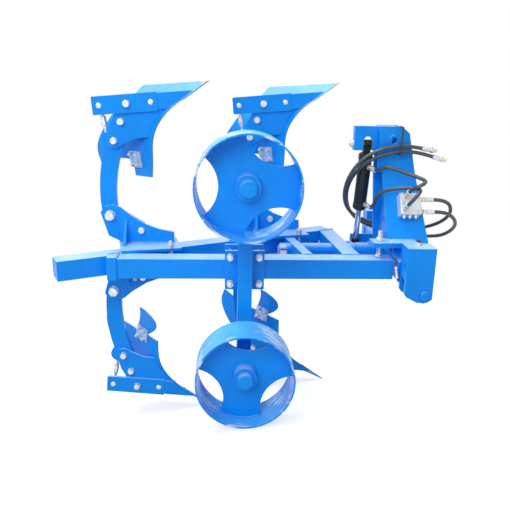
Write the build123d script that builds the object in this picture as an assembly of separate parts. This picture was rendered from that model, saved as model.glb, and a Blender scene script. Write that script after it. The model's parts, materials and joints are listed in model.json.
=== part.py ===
"""Mounted two-furrow reversible mouldboard plough with a hydraulic turnover.

Millimetres. While the pieces are built, x points forward to the tractor, y to the plough's left and
z up; x starts at the depth wheels' axles, and y and z at the turnover axis, a line along x. Taken off
the tractor, the plough leans over onto its lower wheel and the tips of its two lower shares. The
export turns everything to that resting pose and puts the origin midway between the lower hitch pins.
The frame turns over about the turnover axis, so the lower and the upper bodies are mirror images in
the plane z = 0. A body is built as the lower one, in its own frame: u forward along the landside,
v to the left from the landside's outer face, w up from the landside's middle bolt.
"""
import math
import os

from build123d import *

# ---------------------------------------------------------------- driving dimensions
# frame tubes
TUBE = 80.0                 # square tube, outside
TUBE_WALL = 6.0
SIDE_BEAM_Y = -235.0        # centre line of the side beam
SIDE_BEAM_REAR = -541.0
SIDE_BEAM_FRONT = 600.0
MAIN_BEAM_REAR = (-739.0, -281.0)
MAIN_BEAM_ANGLE = 25.6      # degrees from x
MAIN_BEAM_LENGTH = 1275.0
JOINT_PLATE = 36.0          # length of the collar where the side beam meets the main beam
JOINT_OVER = 7.0            # the collar stands proud of the tube by this much

# turnover shaft, sleeve and crank
SHAFT_R = 25.0
SHAFT_BORE_R = 14.0
SHAFT_REAR = 160.0
RUNNING = 0.05              # radial clearance of a running fit
SLEEVE_R = 34.0
SLEEVE_REAR = 196.0
SLEEVE_FRONT = 486.0
NUT_AF = 60.0
NUT_LENGTH = 30.0
HOUSING_R = 38.0             # beside the rod eye
HOUSING_COLLAR_R = 43.0
HOUSING_COLLAR_X = (558.0, 600.0)
CRANK_THICK = 14.0
CRANK_RADIUS = 100.0
CRANK_BOSS_R = 20.0
THRUST_GAP = 1.0

# mast
MAST_BACK_X = 588.0
MAST_REAR = 22.0            # how far the side plates' upper part reaches back past that
MAST_FRONT_X = (727.0, 765.0, 735.0)    # front edges, at the bend and at the hitch beam (near, far)
MAST_PLATE = 10.0
MAST_GAP = 60.0             # between the side plates at the top link
MAST_TOP = 550.0
MAST_BEND = 360.0           # below this the near side plate leans out
MAST_FLARE = 31.8           # degrees from upright
TOP_LINK = (627.0, 492.0)   # x, z of the top link hole
TOP_LINK_R = 12.75
TOP_LINK_BOSS_R = 24.0
TOP_LINK_BOSS = 6.0

# lower hitch
HITCH_X = 700.0
HITCH_Z = -73.0
HITCH_SPREAD = 683.0        # between the middles of the two pins
HITCH_GAP = 58.0            # inside a bracket
HITCH_PLATE = 12.0
HITCH_PIN_R = 14.0
HITCH_HEAD_R = 18.5
BRACKET_BACK = 80.0         # from the pin back to the bracket's rear edge
BRACKET_FRONT = 32.0
BRACKET_TOP = 118.0
BRACKET_WEB_LOW = -10.0
HITCH_BEAM_X = 655.0
HITCH_BEAM_WALL = 6.0

# turnover stop
STOP_X = (515.0, 700.0)
STOP_Z = 88.0
STOP_THICK = 20.0
STOP_NEAR_Y = -265.0
STOP_SCREW = (550.0, -225.0)
STOP_SCREW_R = 10.0
STOP_SCREW_TOP = 150.0

# turnover cylinder
CYL_X = 523.0
CYL_PIVOT_Z = 474.0
BARREL_R = 28.5
BARREL_TOP = 46.0           # pivot to the barrel's upper end
BARREL_END = 295.0          # pivot to the barrel's lower end
GLAND_R = 24.0
ROD_R = 13.0
ROD_EYE_R = 20.0
ROD_EYE_WIDTH = 34.0
EYE_WIDTH = 30.0
PIVOT_PIN_R = 9.0
ROD_STROKE = 110.0
EAR_X = (464.0, 585.0)
EAR_Z = (447.0, 548.0)
EAR_THICK = 34.0
EAR_TONGUE = 55.0           # how far the ear reaches in between the side plates
EAR_STEM = 19.0             # and how far the tongue reaches back into the ear
BRACE_GAP = 8.0             # between the crank's boss and the plate beside it
EAR_SLOT = 38.0

# valve block and hoses
BLOCK = (84.0, 92.0, 46.0)  # along x, up the mast's slope, out from it
BLOCK_X = 682.0
BLOCK_Z = 226.0
FRONT_PORTS = (26.0, -28.0)     # up the slope from the block's middle
FACE_PORTS = ((-18.0, 30.0), (-26.0, -26.0))    # along x and up the slope
HOSE_R = 7.75
FITTING_R = 9.0
FITTING_LENGTH = 58.0       # on the front ports
ELBOW_LENGTH = 36.0         # on the near face's ports
COUPLING_LENGTH = 62.0
COUPLING_R = 11.0
BARREL_PORTS = ((95.0, 66.0), (268.0, 60.0))    # down from the pivot, degrees from x towards -y
PORT_LENGTH = 22.0
TIE_WIDTH = 7.0

# bodies
BODY_STEP = (562.0, 238.0)  # from the rear body to the front one
BOLT_X = -472.0             # landside's middle bolt, rear body
BOLT_Z = -623.0
LANDSIDE_Y = -75.0          # landside's outer face, rear body
BODY_PITCH = 4.9            # degrees, nose down
LANDSIDE = (-136.0, 123.0)  # u of its ends
LANDSIDE_HALF = 36.0
LANDSIDE_THICK = 12.0
LANDSIDE_BOLTS = (-108.7, 0.0, 96.7)
FROG_THICK = 12.0
FROG_BOLTS = ((-33.0, 68.4), (-70.0, 141.3))
LEG_THICK = 25.0
LEG_WIDTH = 66.0
LEG_BOLT = (-558.0, -168.0)     # x, z of the leg's main bolt, rear body
SHEAR_BOLT = (-430.0, -104.0)
BOARD_THICK = 7.0
SHARE_THICK = 10.0
BOARD_GAP = 0.3             # between a board and what stands behind it
SPLICE_THICK = 6.0
SCREW_R = 5.5               # turnbuckle rods
SLEEVE_HEX = 20.0           # across the flats of a turnbuckle's sleeve
BRACKET_THICK = 12.0
BASE_PLATE = (244.0, 174.0, 12.0)
BASE_CENTRE = (-393.0, -92.0)
BASE_TURN = 12.0            # degrees from x

# depth wheels
WHEEL_R = 189.0
WHEEL_WIDTH = 156.0
WHEEL_WALL = 6.0
WHEEL_Z = 365.0
WHEEL_NEAR_Y = -539.0       # outer rim plane
DISC_THICK = 10.0
DISC_Y = -470.0
HUB_R = 46.0
HUB_LENGTH = 70.0
CAP_R = 30.0
AXLE_R = 20.0
POST = 56.0
CLAMP = (156.0, 160.0, 12.0)
CLAMP_BOLT = (113.0, 109.0)
CLAMP_BOLT_R = 9.0

ORIGIN = Vector(HITCH_X, 0, HITCH_Z)


# ---------------------------------------------------------------- helpers
def box(x, y, z):
    """A box from three (low, high) pairs."""
    size = [high - low for low, high in (x, y, z)]
    middle = [(high + low) / 2 for low, high in (x, y, z)]
    return Pos(*middle) * Box(*size)


def rod_between(start, end, radius):
    """A round bar between two points."""
    start, end = Vector(*start), Vector(*end)
    axis = end - start
    return extrude(Plane(origin=start, z_dir=axis) * Circle(radius), axis.length)


def along_x(x, y, z, radius):
    """A round bar along x, from x[0] to x[1]."""
    return rod_between((x[0], y, z), (x[1], y, z), radius)


def along_y(x, y, z, radius):
    """A round bar along y, from y[0] to y[1]."""
    return rod_between((x, y[0], z), (x, y[1], z), radius)


def plate_xz(points, y, corner=0.0):
    """A flat plate parallel to xz from y[0] to y[1], its outline given as (x, z)."""
    outline = make_face(Polyline(*[(x, z) for x, z in points], close=True))
    if corner:
        outline = fillet(outline.vertices(), corner)
    flat = Plane(origin=(0, y[0], 0), x_dir=(1, 0, 0), z_dir=(0, -1, 0))
    return extrude(flat * outline, -(y[1] - y[0]))


def plate_yz(points, x):
    """A flat plate parallel to yz from x[0] to x[1], its outline given as (y, z)."""
    outline = make_face(Polyline(*points, close=True))
    flat = Plane(origin=(x[0], 0, 0), x_dir=(0, 1, 0), z_dir=(1, 0, 0))
    return extrude(flat * outline, x[1] - x[0])


def square_tube(length, width, height, wall):
    """A hollow tube along x from 0, its section centred."""
    outer = Pos(length / 2, 0, 0) * Box(length, width, height)
    inner = Pos(length / 2, 0, 0) * Box(length + 2, width - 2 * wall, height - 2 * wall)
    return outer - inner


def capped_tube(length, width, height, wall):
    """The same tube, closed by a plate inside each end."""
    inner = Pos(length / 2, 0, 0) * Box(length - 2 * wall, width - 2 * wall, height - 2 * wall)
    return Pos(length / 2, 0, 0) * Box(length, width, height) - inner


nodes = {}


def keep(name, *shapes):
    """Files solids under a node's name."""
    nodes[name] = [solid for shape in shapes for solid in shape.solids()]


# ---------------------------------------------------------------- frame
turn = math.radians(MAIN_BEAM_ANGLE)
main_place = Pos(*MAIN_BEAM_REAR, 0) * Rot(0, 0, MAIN_BEAM_ANGLE)
main_envelope = main_place * Pos(MAIN_BEAM_LENGTH / 2, 0, 0) * Box(MAIN_BEAM_LENGTH + 400, TUBE, TUBE)


def main_beam_y(x):
    """y of the main beam's centre line at x."""
    return MAIN_BEAM_REAR[1] + math.tan(turn) * (x - MAIN_BEAM_REAR[0])


def build_frame():
    half = TUBE / 2
    keep("main_beam", main_place * capped_tube(MAIN_BEAM_LENGTH, TUBE, TUBE, TUBE_WALL))
    side = Pos(SIDE_BEAM_REAR, SIDE_BEAM_Y, 0) * capped_tube(
        SIDE_BEAM_FRONT - SIDE_BEAM_REAR, TUBE, TUBE, TUBE_WALL)
    keep("side_beam", (side - main_envelope).solids().sort_by(Axis.X)[-1])
    collar_y = (SIDE_BEAM_Y - half - JOINT_OVER, main_beam_y(SIDE_BEAM_REAR))
    collar = box((SIDE_BEAM_REAR, SIDE_BEAM_REAR + JOINT_PLATE), collar_y,
                 (-half - JOINT_OVER, half + JOINT_OVER))
    collar -= box((SIDE_BEAM_REAR - 1, SIDE_BEAM_REAR + JOINT_PLATE + 1),
                  (SIDE_BEAM_Y - half, collar_y[1] + 1), (-half, half))
    keep("beam_collar", (collar - main_envelope).solids().sort_by(SortBy.VOLUME)[-1])

    # cross members: x at the side beam, x at the main beam, width, wall
    near_face = SIDE_BEAM_Y + half
    rows = ((264.0, 206.0, 40.0, 4.0), (444.0, 408.0, 70.0, 5.0))
    sleeve_hole = along_x((0, 600), 0, 0, SLEEVE_R + 0.1)
    members = []
    for x_near, x_far, width, wall in rows:
        y_far = main_beam_y(x_far) - half / math.cos(turn)
        reach = math.hypot(x_far - x_near, y_far - near_face)
        skew = math.degrees(math.atan2(y_far - near_face, x_far - x_near))
        place = Pos(x_near, near_face, 0) * Rot(0, 0, skew)
        tube = place * Pos(-40, 0, 0) * square_tube(reach + 120, width, TUBE, wall)
        tube -= main_envelope
        tube -= box((0, 800), (SIDE_BEAM_Y - TUBE, near_face), (-TUBE, TUBE))
        tube = tube.solids().sort_by(SortBy.VOLUME)[-1]
        members.append(tube - sleeve_hole)
    keep("cross_members", *members)

    sleeve = along_x((SLEEVE_REAR, SLEEVE_FRONT), 0, 0, SLEEVE_R)
    keep("turnover_sleeve", sleeve - along_x((0, 600), 0, 0, SHAFT_R + RUNNING))

    crank_x = (SLEEVE_FRONT, SLEEVE_FRONT + CRANK_THICK)
    crank = along_x(crank_x, 0, 0, SLEEVE_R)
    crank += along_x(crank_x, CRANK_RADIUS, 0, CRANK_BOSS_R)
    crank += plate_yz(((0, SLEEVE_R), (CRANK_RADIUS, CRANK_BOSS_R),
                       (CRANK_RADIUS, -CRANK_BOSS_R), (0, -SLEEVE_R)), crank_x)
    crank -= along_x((crank_x[0] - 1, crank_x[1] + 1), 0, 0, SHAFT_R + RUNNING)
    keep("turnover_crank", crank)


# ---------------------------------------------------------------- bodies
def leg_point(u, w):
    """x and z, in the rear body's place, of a point of the lower body's frame."""
    pitch = math.radians(BODY_PITCH)
    return (BOLT_X + u * math.cos(pitch) + w * math.sin(pitch),
            BOLT_Z - u * math.sin(pitch) + w * math.cos(pitch))


body_place = Pos(BOLT_X, LANDSIDE_Y, BOLT_Z) * Rot(0, BODY_PITCH, 0)

# the board's surface: w, u at the landside edge, angle from the furrow, reach sideways
BOARD_SECTIONS = (
    (0.0, 226.0, 41.0, 218.0),
    (55.0, 147.0, 42.0, 226.0),
    (115.0, 103.0, 43.5, 242.0),
    (175.0, 86.0, 46.0, 284.0),
    (230.0, 81.0, 48.0, 304.0),
)
SHARE_SECTIONS = (
    (-66.0, 338.0, 40.2, 243.0),
    (-BOARD_GAP, 228.0, 41.0, 218.0),
)
# w, u at the landside edge, angle, and where the strip starts and ends sideways
WING_SECTIONS = ((230.0, 81.0, 48.0, 196.0, 304.0), (261.0, 76.0, 48.7, 286.0, 297.0))
TAIL_SECTIONS = {
    "lower": ((230.3, 81.0, 48.0, 60.0, 118.0), (311.0, 67.0, 49.0, 0.0, 88.0),
              (350.0, 60.0, 50.0, 68.0, 90.0)),
    "upper": ((230.3, 81.0, 48.0, 0.0, 100.0), (298.0, 72.0, 49.0, 0.0, 88.0)),
}
SPLICE_SECTIONS = ((196.0, 84.0, 46.7, 52.0, 112.0), (262.0, 76.0, 48.4, 44.0, 104.0))


def board_strip(w, edge, angle, first, last, front, back):
    """A level slice of a board, its face pushed forward by front and its back by back."""
    a = math.radians(angle)
    run = Vector(-math.cos(a), math.sin(a))
    out = Vector(math.sin(a), math.cos(a))
    ends = [Vector(edge, 0) + run * (side / math.sin(a)) for side in (first, last)]
    corners = [ends[0] + out * front, ends[1] + out * front, ends[1] - out * back, ends[0] - out * back]
    return Pos(0, 0, w) * make_face(Polyline(*[(p.X, p.Y) for p in corners], close=True))


def board(sections, front, back, trim=0.0):
    """A board through level slices, starting trim past the landside's outer face."""
    return loft([board_strip(w, edge, angle, trim, reach, front, back)
                 for w, edge, angle, reach in sections])


def strips(rows, front, back):
    """A board whose sections each have their own start and end sideways."""
    return loft([board_strip(w, edge, angle, first, last, front, back)
                 for w, edge, angle, first, last in rows])


def build_body():
    """The pieces of one lower body, in its own frame, by name."""
    made = {}
    face = LANDSIDE_THICK
    back = face + FROG_THICK
    bar = plate_xz(((LANDSIDE[0], LANDSIDE_HALF), (LANDSIDE[0], -LANDSIDE_HALF),
                    (LANDSIDE[1], -LANDSIDE_HALF - 2), (LANDSIDE[1], LANDSIDE_HALF)), (0, face), 3)
    made["landside"] = bar
    made["share"] = board(SHARE_SECTIONS, 0, SHARE_THICK)
    made["mouldboard"] = board(BOARD_SECTIONS, 0, BOARD_THICK) + strips(WING_SECTIONS, 0, BOARD_THICK)

    # frog: a plate in the leg's plane, and a foot that fills in behind the share and board
    (u1, w1), (u2, w2) = FROG_BOLTS
    outline = ((-52, -30), (-52, 34), (-78, 74), (u2 - 31, w2 - 4), (u2 - 22, w2 + 26), (u2 + 4, w2 + 33),
               (-38, 160), (16, 140), (120, 134), (240, 30), (240, -30))
    frog = plate_xz(outline, (face, back))
    frog += plate_xz(((124, -34), (300, -34), (240, 30), (124, 30)), (1, face + 1))
    stay_top = 92.0
    stay = box((8, 200), (back - 1, 205), (stay_top, stay_top + 8))
    stay += box((-60, 200), (back - 1, 150), (-20, -12))
    frog += stay
    clear = BOARD_THICK + BOARD_GAP
    frog -= board(BOARD_SECTIONS, 200, clear)
    frog -= board(((-90.0, 378.0, 40.2, 300.0), (8.0, 213.0, 41.0, 300.0)), 200, SHARE_THICK + BOARD_GAP, -30)
    frog -= box((-400, 400), (-10, 300), (230, 400))
    made["frog"] = frog.solids().sort_by(SortBy.VOLUME)[-1]
    return made


def build_leg():
    """The lower rear leg, in place, with its foot behind the bracket."""
    y0 = LANDSIDE_Y + LANDSIDE_THICK + FROG_THICK
    b1, b2 = (leg_point(*p) for p in FROG_BOLTS)
    half = LEG_WIDTH / 2
    x0, z0 = LEG_BOLT
    low = (b1[0] + 16, b1[1] - 22)
    outer = ((x0 - half, z0), (x0 - half - 5, -300.0), (b2[0] - half - 2, b2[1] + 10), (low[0] - half, low[1]))
    inner = ((low[0] + half, low[1] + 24), (b2[0] + half + 2, b2[1] + 24), (x0 + half - 3, -300.0), (x0 + half, z0))
    path = [Spline(*outer), Line(outer[-1], inner[0]), Spline(*inner), Line(inner[-1], outer[0])]
    outline = make_face(Curve() + path)
    flat = Plane(origin=(0, y0, 0), x_dir=(1, 0, 0), z_dir=(0, -1, 0))
    bar = extrude(flat * outline, -LEG_THICK)
    bar += along_y(x0, (y0, y0 + LEG_THICK), z0, half)
    bar += along_y(b2[0] - 24, (y0, y0 + LEG_THICK), b2[1] + 2, 34)
    foot = plate_xz(((x0, z0 - half), (x0 + 20, z0 - half), (SHEAR_BOLT[0] + 12, SHEAR_BOLT[1] - 26),
                     (SHEAR_BOLT[0] + 12, SHEAR_BOLT[1] + 26), (x0, z0 + half)), (y0, y0 + LEG_THICK))
    return bar + foot


def build_leg_bracket():
    """The lower rear leg's bracket with the base plate that clamps it to the main beam."""
    y0 = LANDSIDE_Y + LANDSIDE_THICK
    x0, z0 = LEG_BOLT
    top = -TUBE / 2 - BASE_PLATE[2]
    outline = ((x0 - 40, z0 - 12), (x0 - 22, z0 - 36), (x0 + 10, z0 - 44), (x0 + 42, z0 - 34), (-476, -169),
               (-415, -131), (-353, -108), (-294, -97), (-292, top), (-512, top), (x0 - 10, -80))
    plate = plate_xz(outline, (y0, y0 + BRACKET_THICK))
    base = Pos(BASE_CENTRE[0], BASE_CENTRE[1], top + BASE_PLATE[2] / 2) * Rot(0, 0, BASE_TURN) * Box(*BASE_PLATE)
    rib = plate_yz(((y0, top), (y0 - 70, top), (y0, -150)), (-500, -488))
    return plate + base + rib


def build_turnbuckle(leg):
    """The screw that sets a lower rear body's pitch, from the landside's heel bolt to the leg's knob."""
    v = LANDSIDE_THICK + FROG_THICK + LEG_THICK / 2
    heel, knob = (LANDSIDE_BOLTS[0], v, 0), (-98, v, 140)
    rod = rod_between(heel, knob, SCREW_R)
    half = Vector(*heel) * 0.56 + Vector(*knob) * 0.44
    axis = (Vector(*knob) - Vector(*heel)).normalized()
    sleeve = Plane(origin=half - axis * 17, z_dir=axis) * RegularPolygon(SLEEVE_HEX / 2, 6, major_radius=False)
    rod += extrude(sleeve, 34)
    rod += along_y(heel[0], (LANDSIDE_THICK, v + 9), 0, 8)
    return body_place * rod - leg


def build_bodies():
    pieces = build_body()
    leg = build_leg()
    bracket = build_leg_bracket()
    screw = build_turnbuckle(leg)
    splice = strips(SPLICE_SECTIONS, -BOARD_THICK - BOARD_GAP, BOARD_THICK + BOARD_GAP + SPLICE_THICK)
    landsides, tails, splices, screws = [], [], [], []
    for where, shift in (("rear", (0.0, 0.0)), ("front", BODY_STEP)):
        move = Pos(*shift, 0)
        brackets = []
        for side in ("lower", "upper"):
            flip = (lambda s: s) if side == "lower" else (lambda s: mirror(s, about=Plane.XY))
            for name in ("share", "mouldboard", "frog"):
                keep(f"{name}_{where}_{side}", flip(move * body_place * pieces[name]))
            keep(f"leg_{where}_{side}", flip(move * leg))
            landsides.append(flip(move * body_place * pieces["landside"]))
            tails.append(flip(move * body_place * strips(TAIL_SECTIONS[side], 0, BOARD_THICK)))
            splices.append(flip(move * body_place * splice) - tails[-1] - nodes[f"mouldboard_{where}_{side}"][0])
            screws.append(flip(move * screw))
            brackets.append(flip(move * bracket))
        keep(f"leg_brackets_{where}", *brackets)
    keep("landsides", *landsides)
    keep("tail_plates", *tails)
    keep("splice_plates", *splices)
    keep("turnbuckles", *screws)


# ---------------------------------------------------------------- depth wheels
def build_wheels():
    middle = WHEEL_NEAR_Y + WHEEL_WIDTH / 2
    near_face = SIDE_BEAM_Y - TUBE / 2
    post_y = (near_face - CLAMP[2] - POST, near_face - CLAMP[2])
    post_middle = sum(post_y) / 2
    post = Pos(0, post_middle, 0) * Rot(0, 90, 0) * Pos(-WHEEL_Z - POST / 2, 0, 0) * capped_tube(
        2 * WHEEL_Z + POST, POST, POST, 5)
    keep("wheel_post", post)
    plates = []
    for y in (near_face - CLAMP[2], near_face + TUBE):
        plate = box((-CLAMP[0] / 2, CLAMP[0] / 2), (y, y + CLAMP[2]), (-CLAMP[1] / 2, CLAMP[1] / 2))
        for sx in (-1, 1):
            for sz in (-1, 1):
                plate -= along_y(sx * CLAMP_BOLT[0] / 2, (y - 1, y + CLAMP[2] + 1), sz * CLAMP_BOLT[1] / 2,
                                 CLAMP_BOLT_R)
        plates.append(plate)
    keep("post_clamps", *plates)
    axles = []
    for name, z in (("upper", WHEEL_Z), ("lower", -WHEEL_Z)):
        ring = along_y(0, (WHEEL_NEAR_Y, WHEEL_NEAR_Y + WHEEL_WIDTH), z, WHEEL_R)
        ring -= along_y(0, (WHEEL_NEAR_Y - 1, WHEEL_NEAR_Y + WHEEL_WIDTH + 1), z, WHEEL_R - WHEEL_WALL)
        keep(f"wheel_ring_{name}", ring)
        disc = along_y(0, (DISC_Y, DISC_Y + DISC_THICK), z, WHEEL_R - WHEEL_WALL)
        first = {"upper": 60.0, "lower": 85.0}[name]
        for k in range(3):
            a = math.radians(first + 120 * k)
            cut_at = (math.cos(a) * (WHEEL_R + 45), z + math.sin(a) * (WHEEL_R + 45))
            disc -= along_y(cut_at[0], (DISC_Y - 1, DISC_Y + DISC_THICK + 1), cut_at[1], 130)
        disc = disc.solids().sort_by(SortBy.VOLUME)[-1]
        hub = along_y(0, (DISC_Y - HUB_LENGTH / 2, DISC_Y + HUB_LENGTH / 2), z, HUB_R)
        disc += hub
        disc -= along_y(0, (DISC_Y - 100, DISC_Y + 100), z, AXLE_R + RUNNING)
        keep(f"wheel_disc_{name}", disc)
        axle = along_y(0, (WHEEL_NEAR_Y + 12, post_y[0]), z, AXLE_R)
        axle += along_y(0, (WHEEL_NEAR_Y + 12, DISC_Y - HUB_LENGTH / 2 - 1), z, CAP_R)
        axle += along_y(0, (DISC_Y + HUB_LENGTH / 2 + 1, post_y[0]), z, CAP_R)
        axles.append(axle)
    keep("wheel_axles", *axles)


# ---------------------------------------------------------------- headstock
def flare_y(z):
    """Outer face of the mast's leaning side plate."""
    return -MAST_GAP / 2 - MAST_PLATE - math.tan(math.radians(MAST_FLARE)) * max(0.0, MAST_BEND - z)


block_place = Pos(BLOCK_X, flare_y(BLOCK_Z), BLOCK_Z) * Rot(-MAST_FLARE, 0, 0) * Pos(0, -BLOCK[2] / 2, 0)


def block_point(along, out, up):
    """A point given from the valve block's middle, along its own edges."""
    return tuple((block_place * Pos(along, out, up)).position)


def build_headstock():
    half = TUBE / 2
    inner = HITCH_SPREAD / 2 - HITCH_GAP / 2
    outer = HITCH_SPREAD / 2 + HITCH_GAP / 2
    beam_y = inner - HITCH_PLATE
    keep("hitch_beam", Pos(HITCH_BEAM_X, -beam_y, 0) * Rot(0, 0, 90) * capped_tube(
        2 * beam_y, TUBE, TUBE, HITCH_BEAM_WALL))
    back, front = HITCH_X - BRACKET_BACK, HITCH_X + BRACKET_FRONT
    outline = ((back, BRACKET_TOP), (front, BRACKET_TOP), (front, -88), (front - 14, -98), (HITCH_X, HITCH_Z - 31),
               (HITCH_X - 30, HITCH_Z - 27), (back + 8, -78), (back, -66))
    pins, brackets = [], []
    for side in (-1, 1):
        cheeks = plate_xz(outline, (inner - HITCH_PLATE, inner)) + plate_xz(outline, (outer, outer + HITCH_PLATE))
        web = box((back, back + HITCH_PLATE), (inner, outer), (BRACKET_WEB_LOW, BRACKET_TOP))
        web += box((back, front), (inner, outer), (BRACKET_TOP - HITCH_PLATE, BRACKET_TOP))
        bracket = cheeks + web
        bracket -= along_y(HITCH_X, (inner - 20, outer + 20), HITCH_Z, HITCH_PIN_R + 0.1)
        pin = along_y(HITCH_X, (inner - HITCH_PLATE - 4, outer + HITCH_PLATE), HITCH_Z, HITCH_PIN_R)
        pin += along_y(HITCH_X, (outer + HITCH_PLATE, outer + HITCH_PLATE + 7), HITCH_Z, HITCH_HEAD_R)
        if side < 0:
            bracket = mirror(bracket, about=Plane.XZ)
            pin = mirror(pin, about=Plane.XZ)
        brackets.append(bracket)
        pins.append(pin)
    keep("hitch_brackets", *brackets)
    keep("hitch_pins", *pins)

    # mast: two side plates, a back plate, and a thick ear that carries the cylinder
    low = half
    rear, front = MAST_BACK_X - MAST_REAR, MAST_FRONT_X[0]
    side_outline = ((rear, MAST_TOP), (front - 70, MAST_TOP), (front - 36, MAST_TOP - 28), (front, MAST_BEND),
                    (rear, MAST_BEND))
    link_bore = along_y(TOP_LINK[0], (-200, 200), TOP_LINK[1], TOP_LINK_R)
    for name, side in (("near", -1), ("far", 1)):
        inside, outside = side * MAST_GAP / 2, side * (MAST_GAP / 2 + MAST_PLATE)
        span = (min(inside, outside), max(inside, outside))
        plate = plate_xz(side_outline, span)
        boss = side * (MAST_GAP / 2 + MAST_PLATE + TOP_LINK_BOSS)
        plate += along_y(TOP_LINK[0], (min(outside, boss), max(outside, boss)), TOP_LINK[1], TOP_LINK_BOSS_R)
        if side < 0:
            lean = plate_yz(((inside, MAST_BEND), (outside, MAST_BEND), (flare_y(low), low),
                             (flare_y(low) + MAST_PLATE / math.cos(math.radians(MAST_FLARE)), low)),
                            (MAST_BACK_X, MAST_FRONT_X[1] - 5))
            foot = low - 1
            below = ((rear, MAST_BEND), (front, MAST_BEND), (MAST_FRONT_X[1], foot), (MAST_BACK_X + 12, foot))
            plate += lean & plate_xz(below, (flare_y(foot) - 1, 0))
        else:
            plate += plate_xz(((rear, MAST_BEND), (front, MAST_BEND), (MAST_FRONT_X[2], low), (MAST_BACK_X, low)), span)
        keep(f"mast_side_{name}", plate - link_bore)
    back_plate = plate_yz(((-MAST_GAP / 2, EAR_Z[0] - 7), (MAST_GAP / 2, EAR_Z[0] - 7), (MAST_GAP / 2, low),
                           (flare_y(low) + 15, low), (-MAST_GAP / 2, MAST_BEND)),
                          (MAST_BACK_X + 14, MAST_BACK_X + 14 + MAST_PLATE))
    keep("mast_back", back_plate)
    brace_y = CRANK_RADIUS + CRANK_BOSS_R + BRACE_GAP
    keep("housing_brace", box((506, HITCH_BEAM_X - half), (brace_y, brace_y + 10), (-half, 46)))

    slot_x = (CYL_X - EAR_SLOT / 2, CYL_X + EAR_SLOT / 2)
    ear = box((EAR_X[0], EAR_X[1]), (-EAR_THICK / 2, EAR_THICK / 2), EAR_Z)
    slot = box(slot_x, (-EAR_THICK, EAR_THICK), (EAR_Z[0] - 1, CYL_PIVOT_Z + 12))
    slot += along_y(CYL_X, (-EAR_THICK, EAR_THICK), CYL_PIVOT_Z + 12, EAR_SLOT / 2)
    tongue_x, tongue_z = (EAR_X[1] - EAR_STEM, EAR_X[1] + EAR_TONGUE), (EAR_Z[1] - 20, EAR_Z[1])
    ear += box(tongue_x, (-EAR_THICK / 2, EAR_THICK / 2), tongue_z)
    ear -= slot
    ear -= along_x((EAR_X[0] - 1, EAR_X[1] + 1), 0, CYL_PIVOT_Z, PIVOT_PIN_R + 0.1)
    spacers = box(tongue_x, (EAR_THICK / 2, MAST_GAP / 2), tongue_z)
    ear += spacers + mirror(spacers, about=Plane.XZ)
    keep("mast_ear", ear)
    pin = along_x((EAR_X[0] - 14, EAR_X[0]), 0, CYL_PIVOT_Z, 15)
    pin += along_x((EAR_X[0], EAR_X[1] - EAR_STEM - 3), 0, CYL_PIVOT_Z, PIVOT_PIN_R)
    keep("cylinder_pin", pin)

    housing_rear = SLEEVE_FRONT + CRANK_THICK + THRUST_GAP
    shaft = along_x((SHAFT_REAR, MAST_BACK_X + 40), 0, 0, SHAFT_R)
    nut = extrude(Plane(origin=(SLEEVE_REAR - NUT_LENGTH - THRUST_GAP, 0, 0), z_dir=(1, 0, 0)) * RegularPolygon(
        NUT_AF / 2, 6, major_radius=False), NUT_LENGTH)
    housing = along_x((housing_rear, HITCH_BEAM_X - half), 0, 0, HOUSING_R)
    housing += along_x(HOUSING_COLLAR_X, 0, 0, HOUSING_COLLAR_R)
    shaft += nut + housing
    shaft -= along_x((SHAFT_REAR + 30, HITCH_BEAM_X), 0, 0, SHAFT_BORE_R)
    keep("turnover_shaft", shaft - box((HITCH_BEAM_X - half, HITCH_BEAM_X + half), (-60, 60), (-60, 60)))

    stop = box(STOP_X, (STOP_NEAR_Y, -190), (STOP_Z, STOP_Z + STOP_THICK))
    for plate in nodes["mast_side_near"] + nodes["mast_back"]:
        stop -= plate
    stop = stop.solids().sort_by(Axis.Y)[0]
    hole = Pos(STOP_SCREW[0], STOP_SCREW[1], STOP_Z) * Cylinder(STOP_SCREW_R + 0.1, 100)
    keep("stop_plate", stop - hole)
    screw = Pos(*STOP_SCREW, (half + 4 + STOP_SCREW_TOP) / 2) * Cylinder(STOP_SCREW_R, STOP_SCREW_TOP - half - 4)
    foot = Pos(*STOP_SCREW, half + 0.5 + 5) * Cylinder(16, 10)
    nut = Pos(*STOP_SCREW, STOP_Z - 8 - 0.2) * extrude(RegularPolygon(15, 6, major_radius=False), 8)
    keep("stop_screw", screw + foot + nut)

    keep("valve_block", block_place * Box(BLOCK[0], BLOCK[2], BLOCK[1]))
    fittings = []
    for up in FRONT_PORTS:
        start, end = block_point(BLOCK[0] / 2, 0, up), block_point(BLOCK[0] / 2 + FITTING_LENGTH, 0, up)
        fittings.append(rod_between(start, end, FITTING_R))
    for along, up in FACE_PORTS:
        start, end = block_point(along, -BLOCK[2] / 2, up), block_point(along, -BLOCK[2] / 2 - ELBOW_LENGTH, up)
        fittings.append(rod_between(start, end, FITTING_R))
    keep("valve_fittings", *fittings)


# ---------------------------------------------------------------- turnover cylinder
cylinder_length = math.hypot(CRANK_RADIUS, CYL_PIVOT_Z)
cylinder_swing = math.degrees(math.atan2(CRANK_RADIUS, CYL_PIVOT_Z))
cylinder_place = Pos(CYL_X, 0, CYL_PIVOT_Z) * Rot(cylinder_swing, 0, 0)


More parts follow.
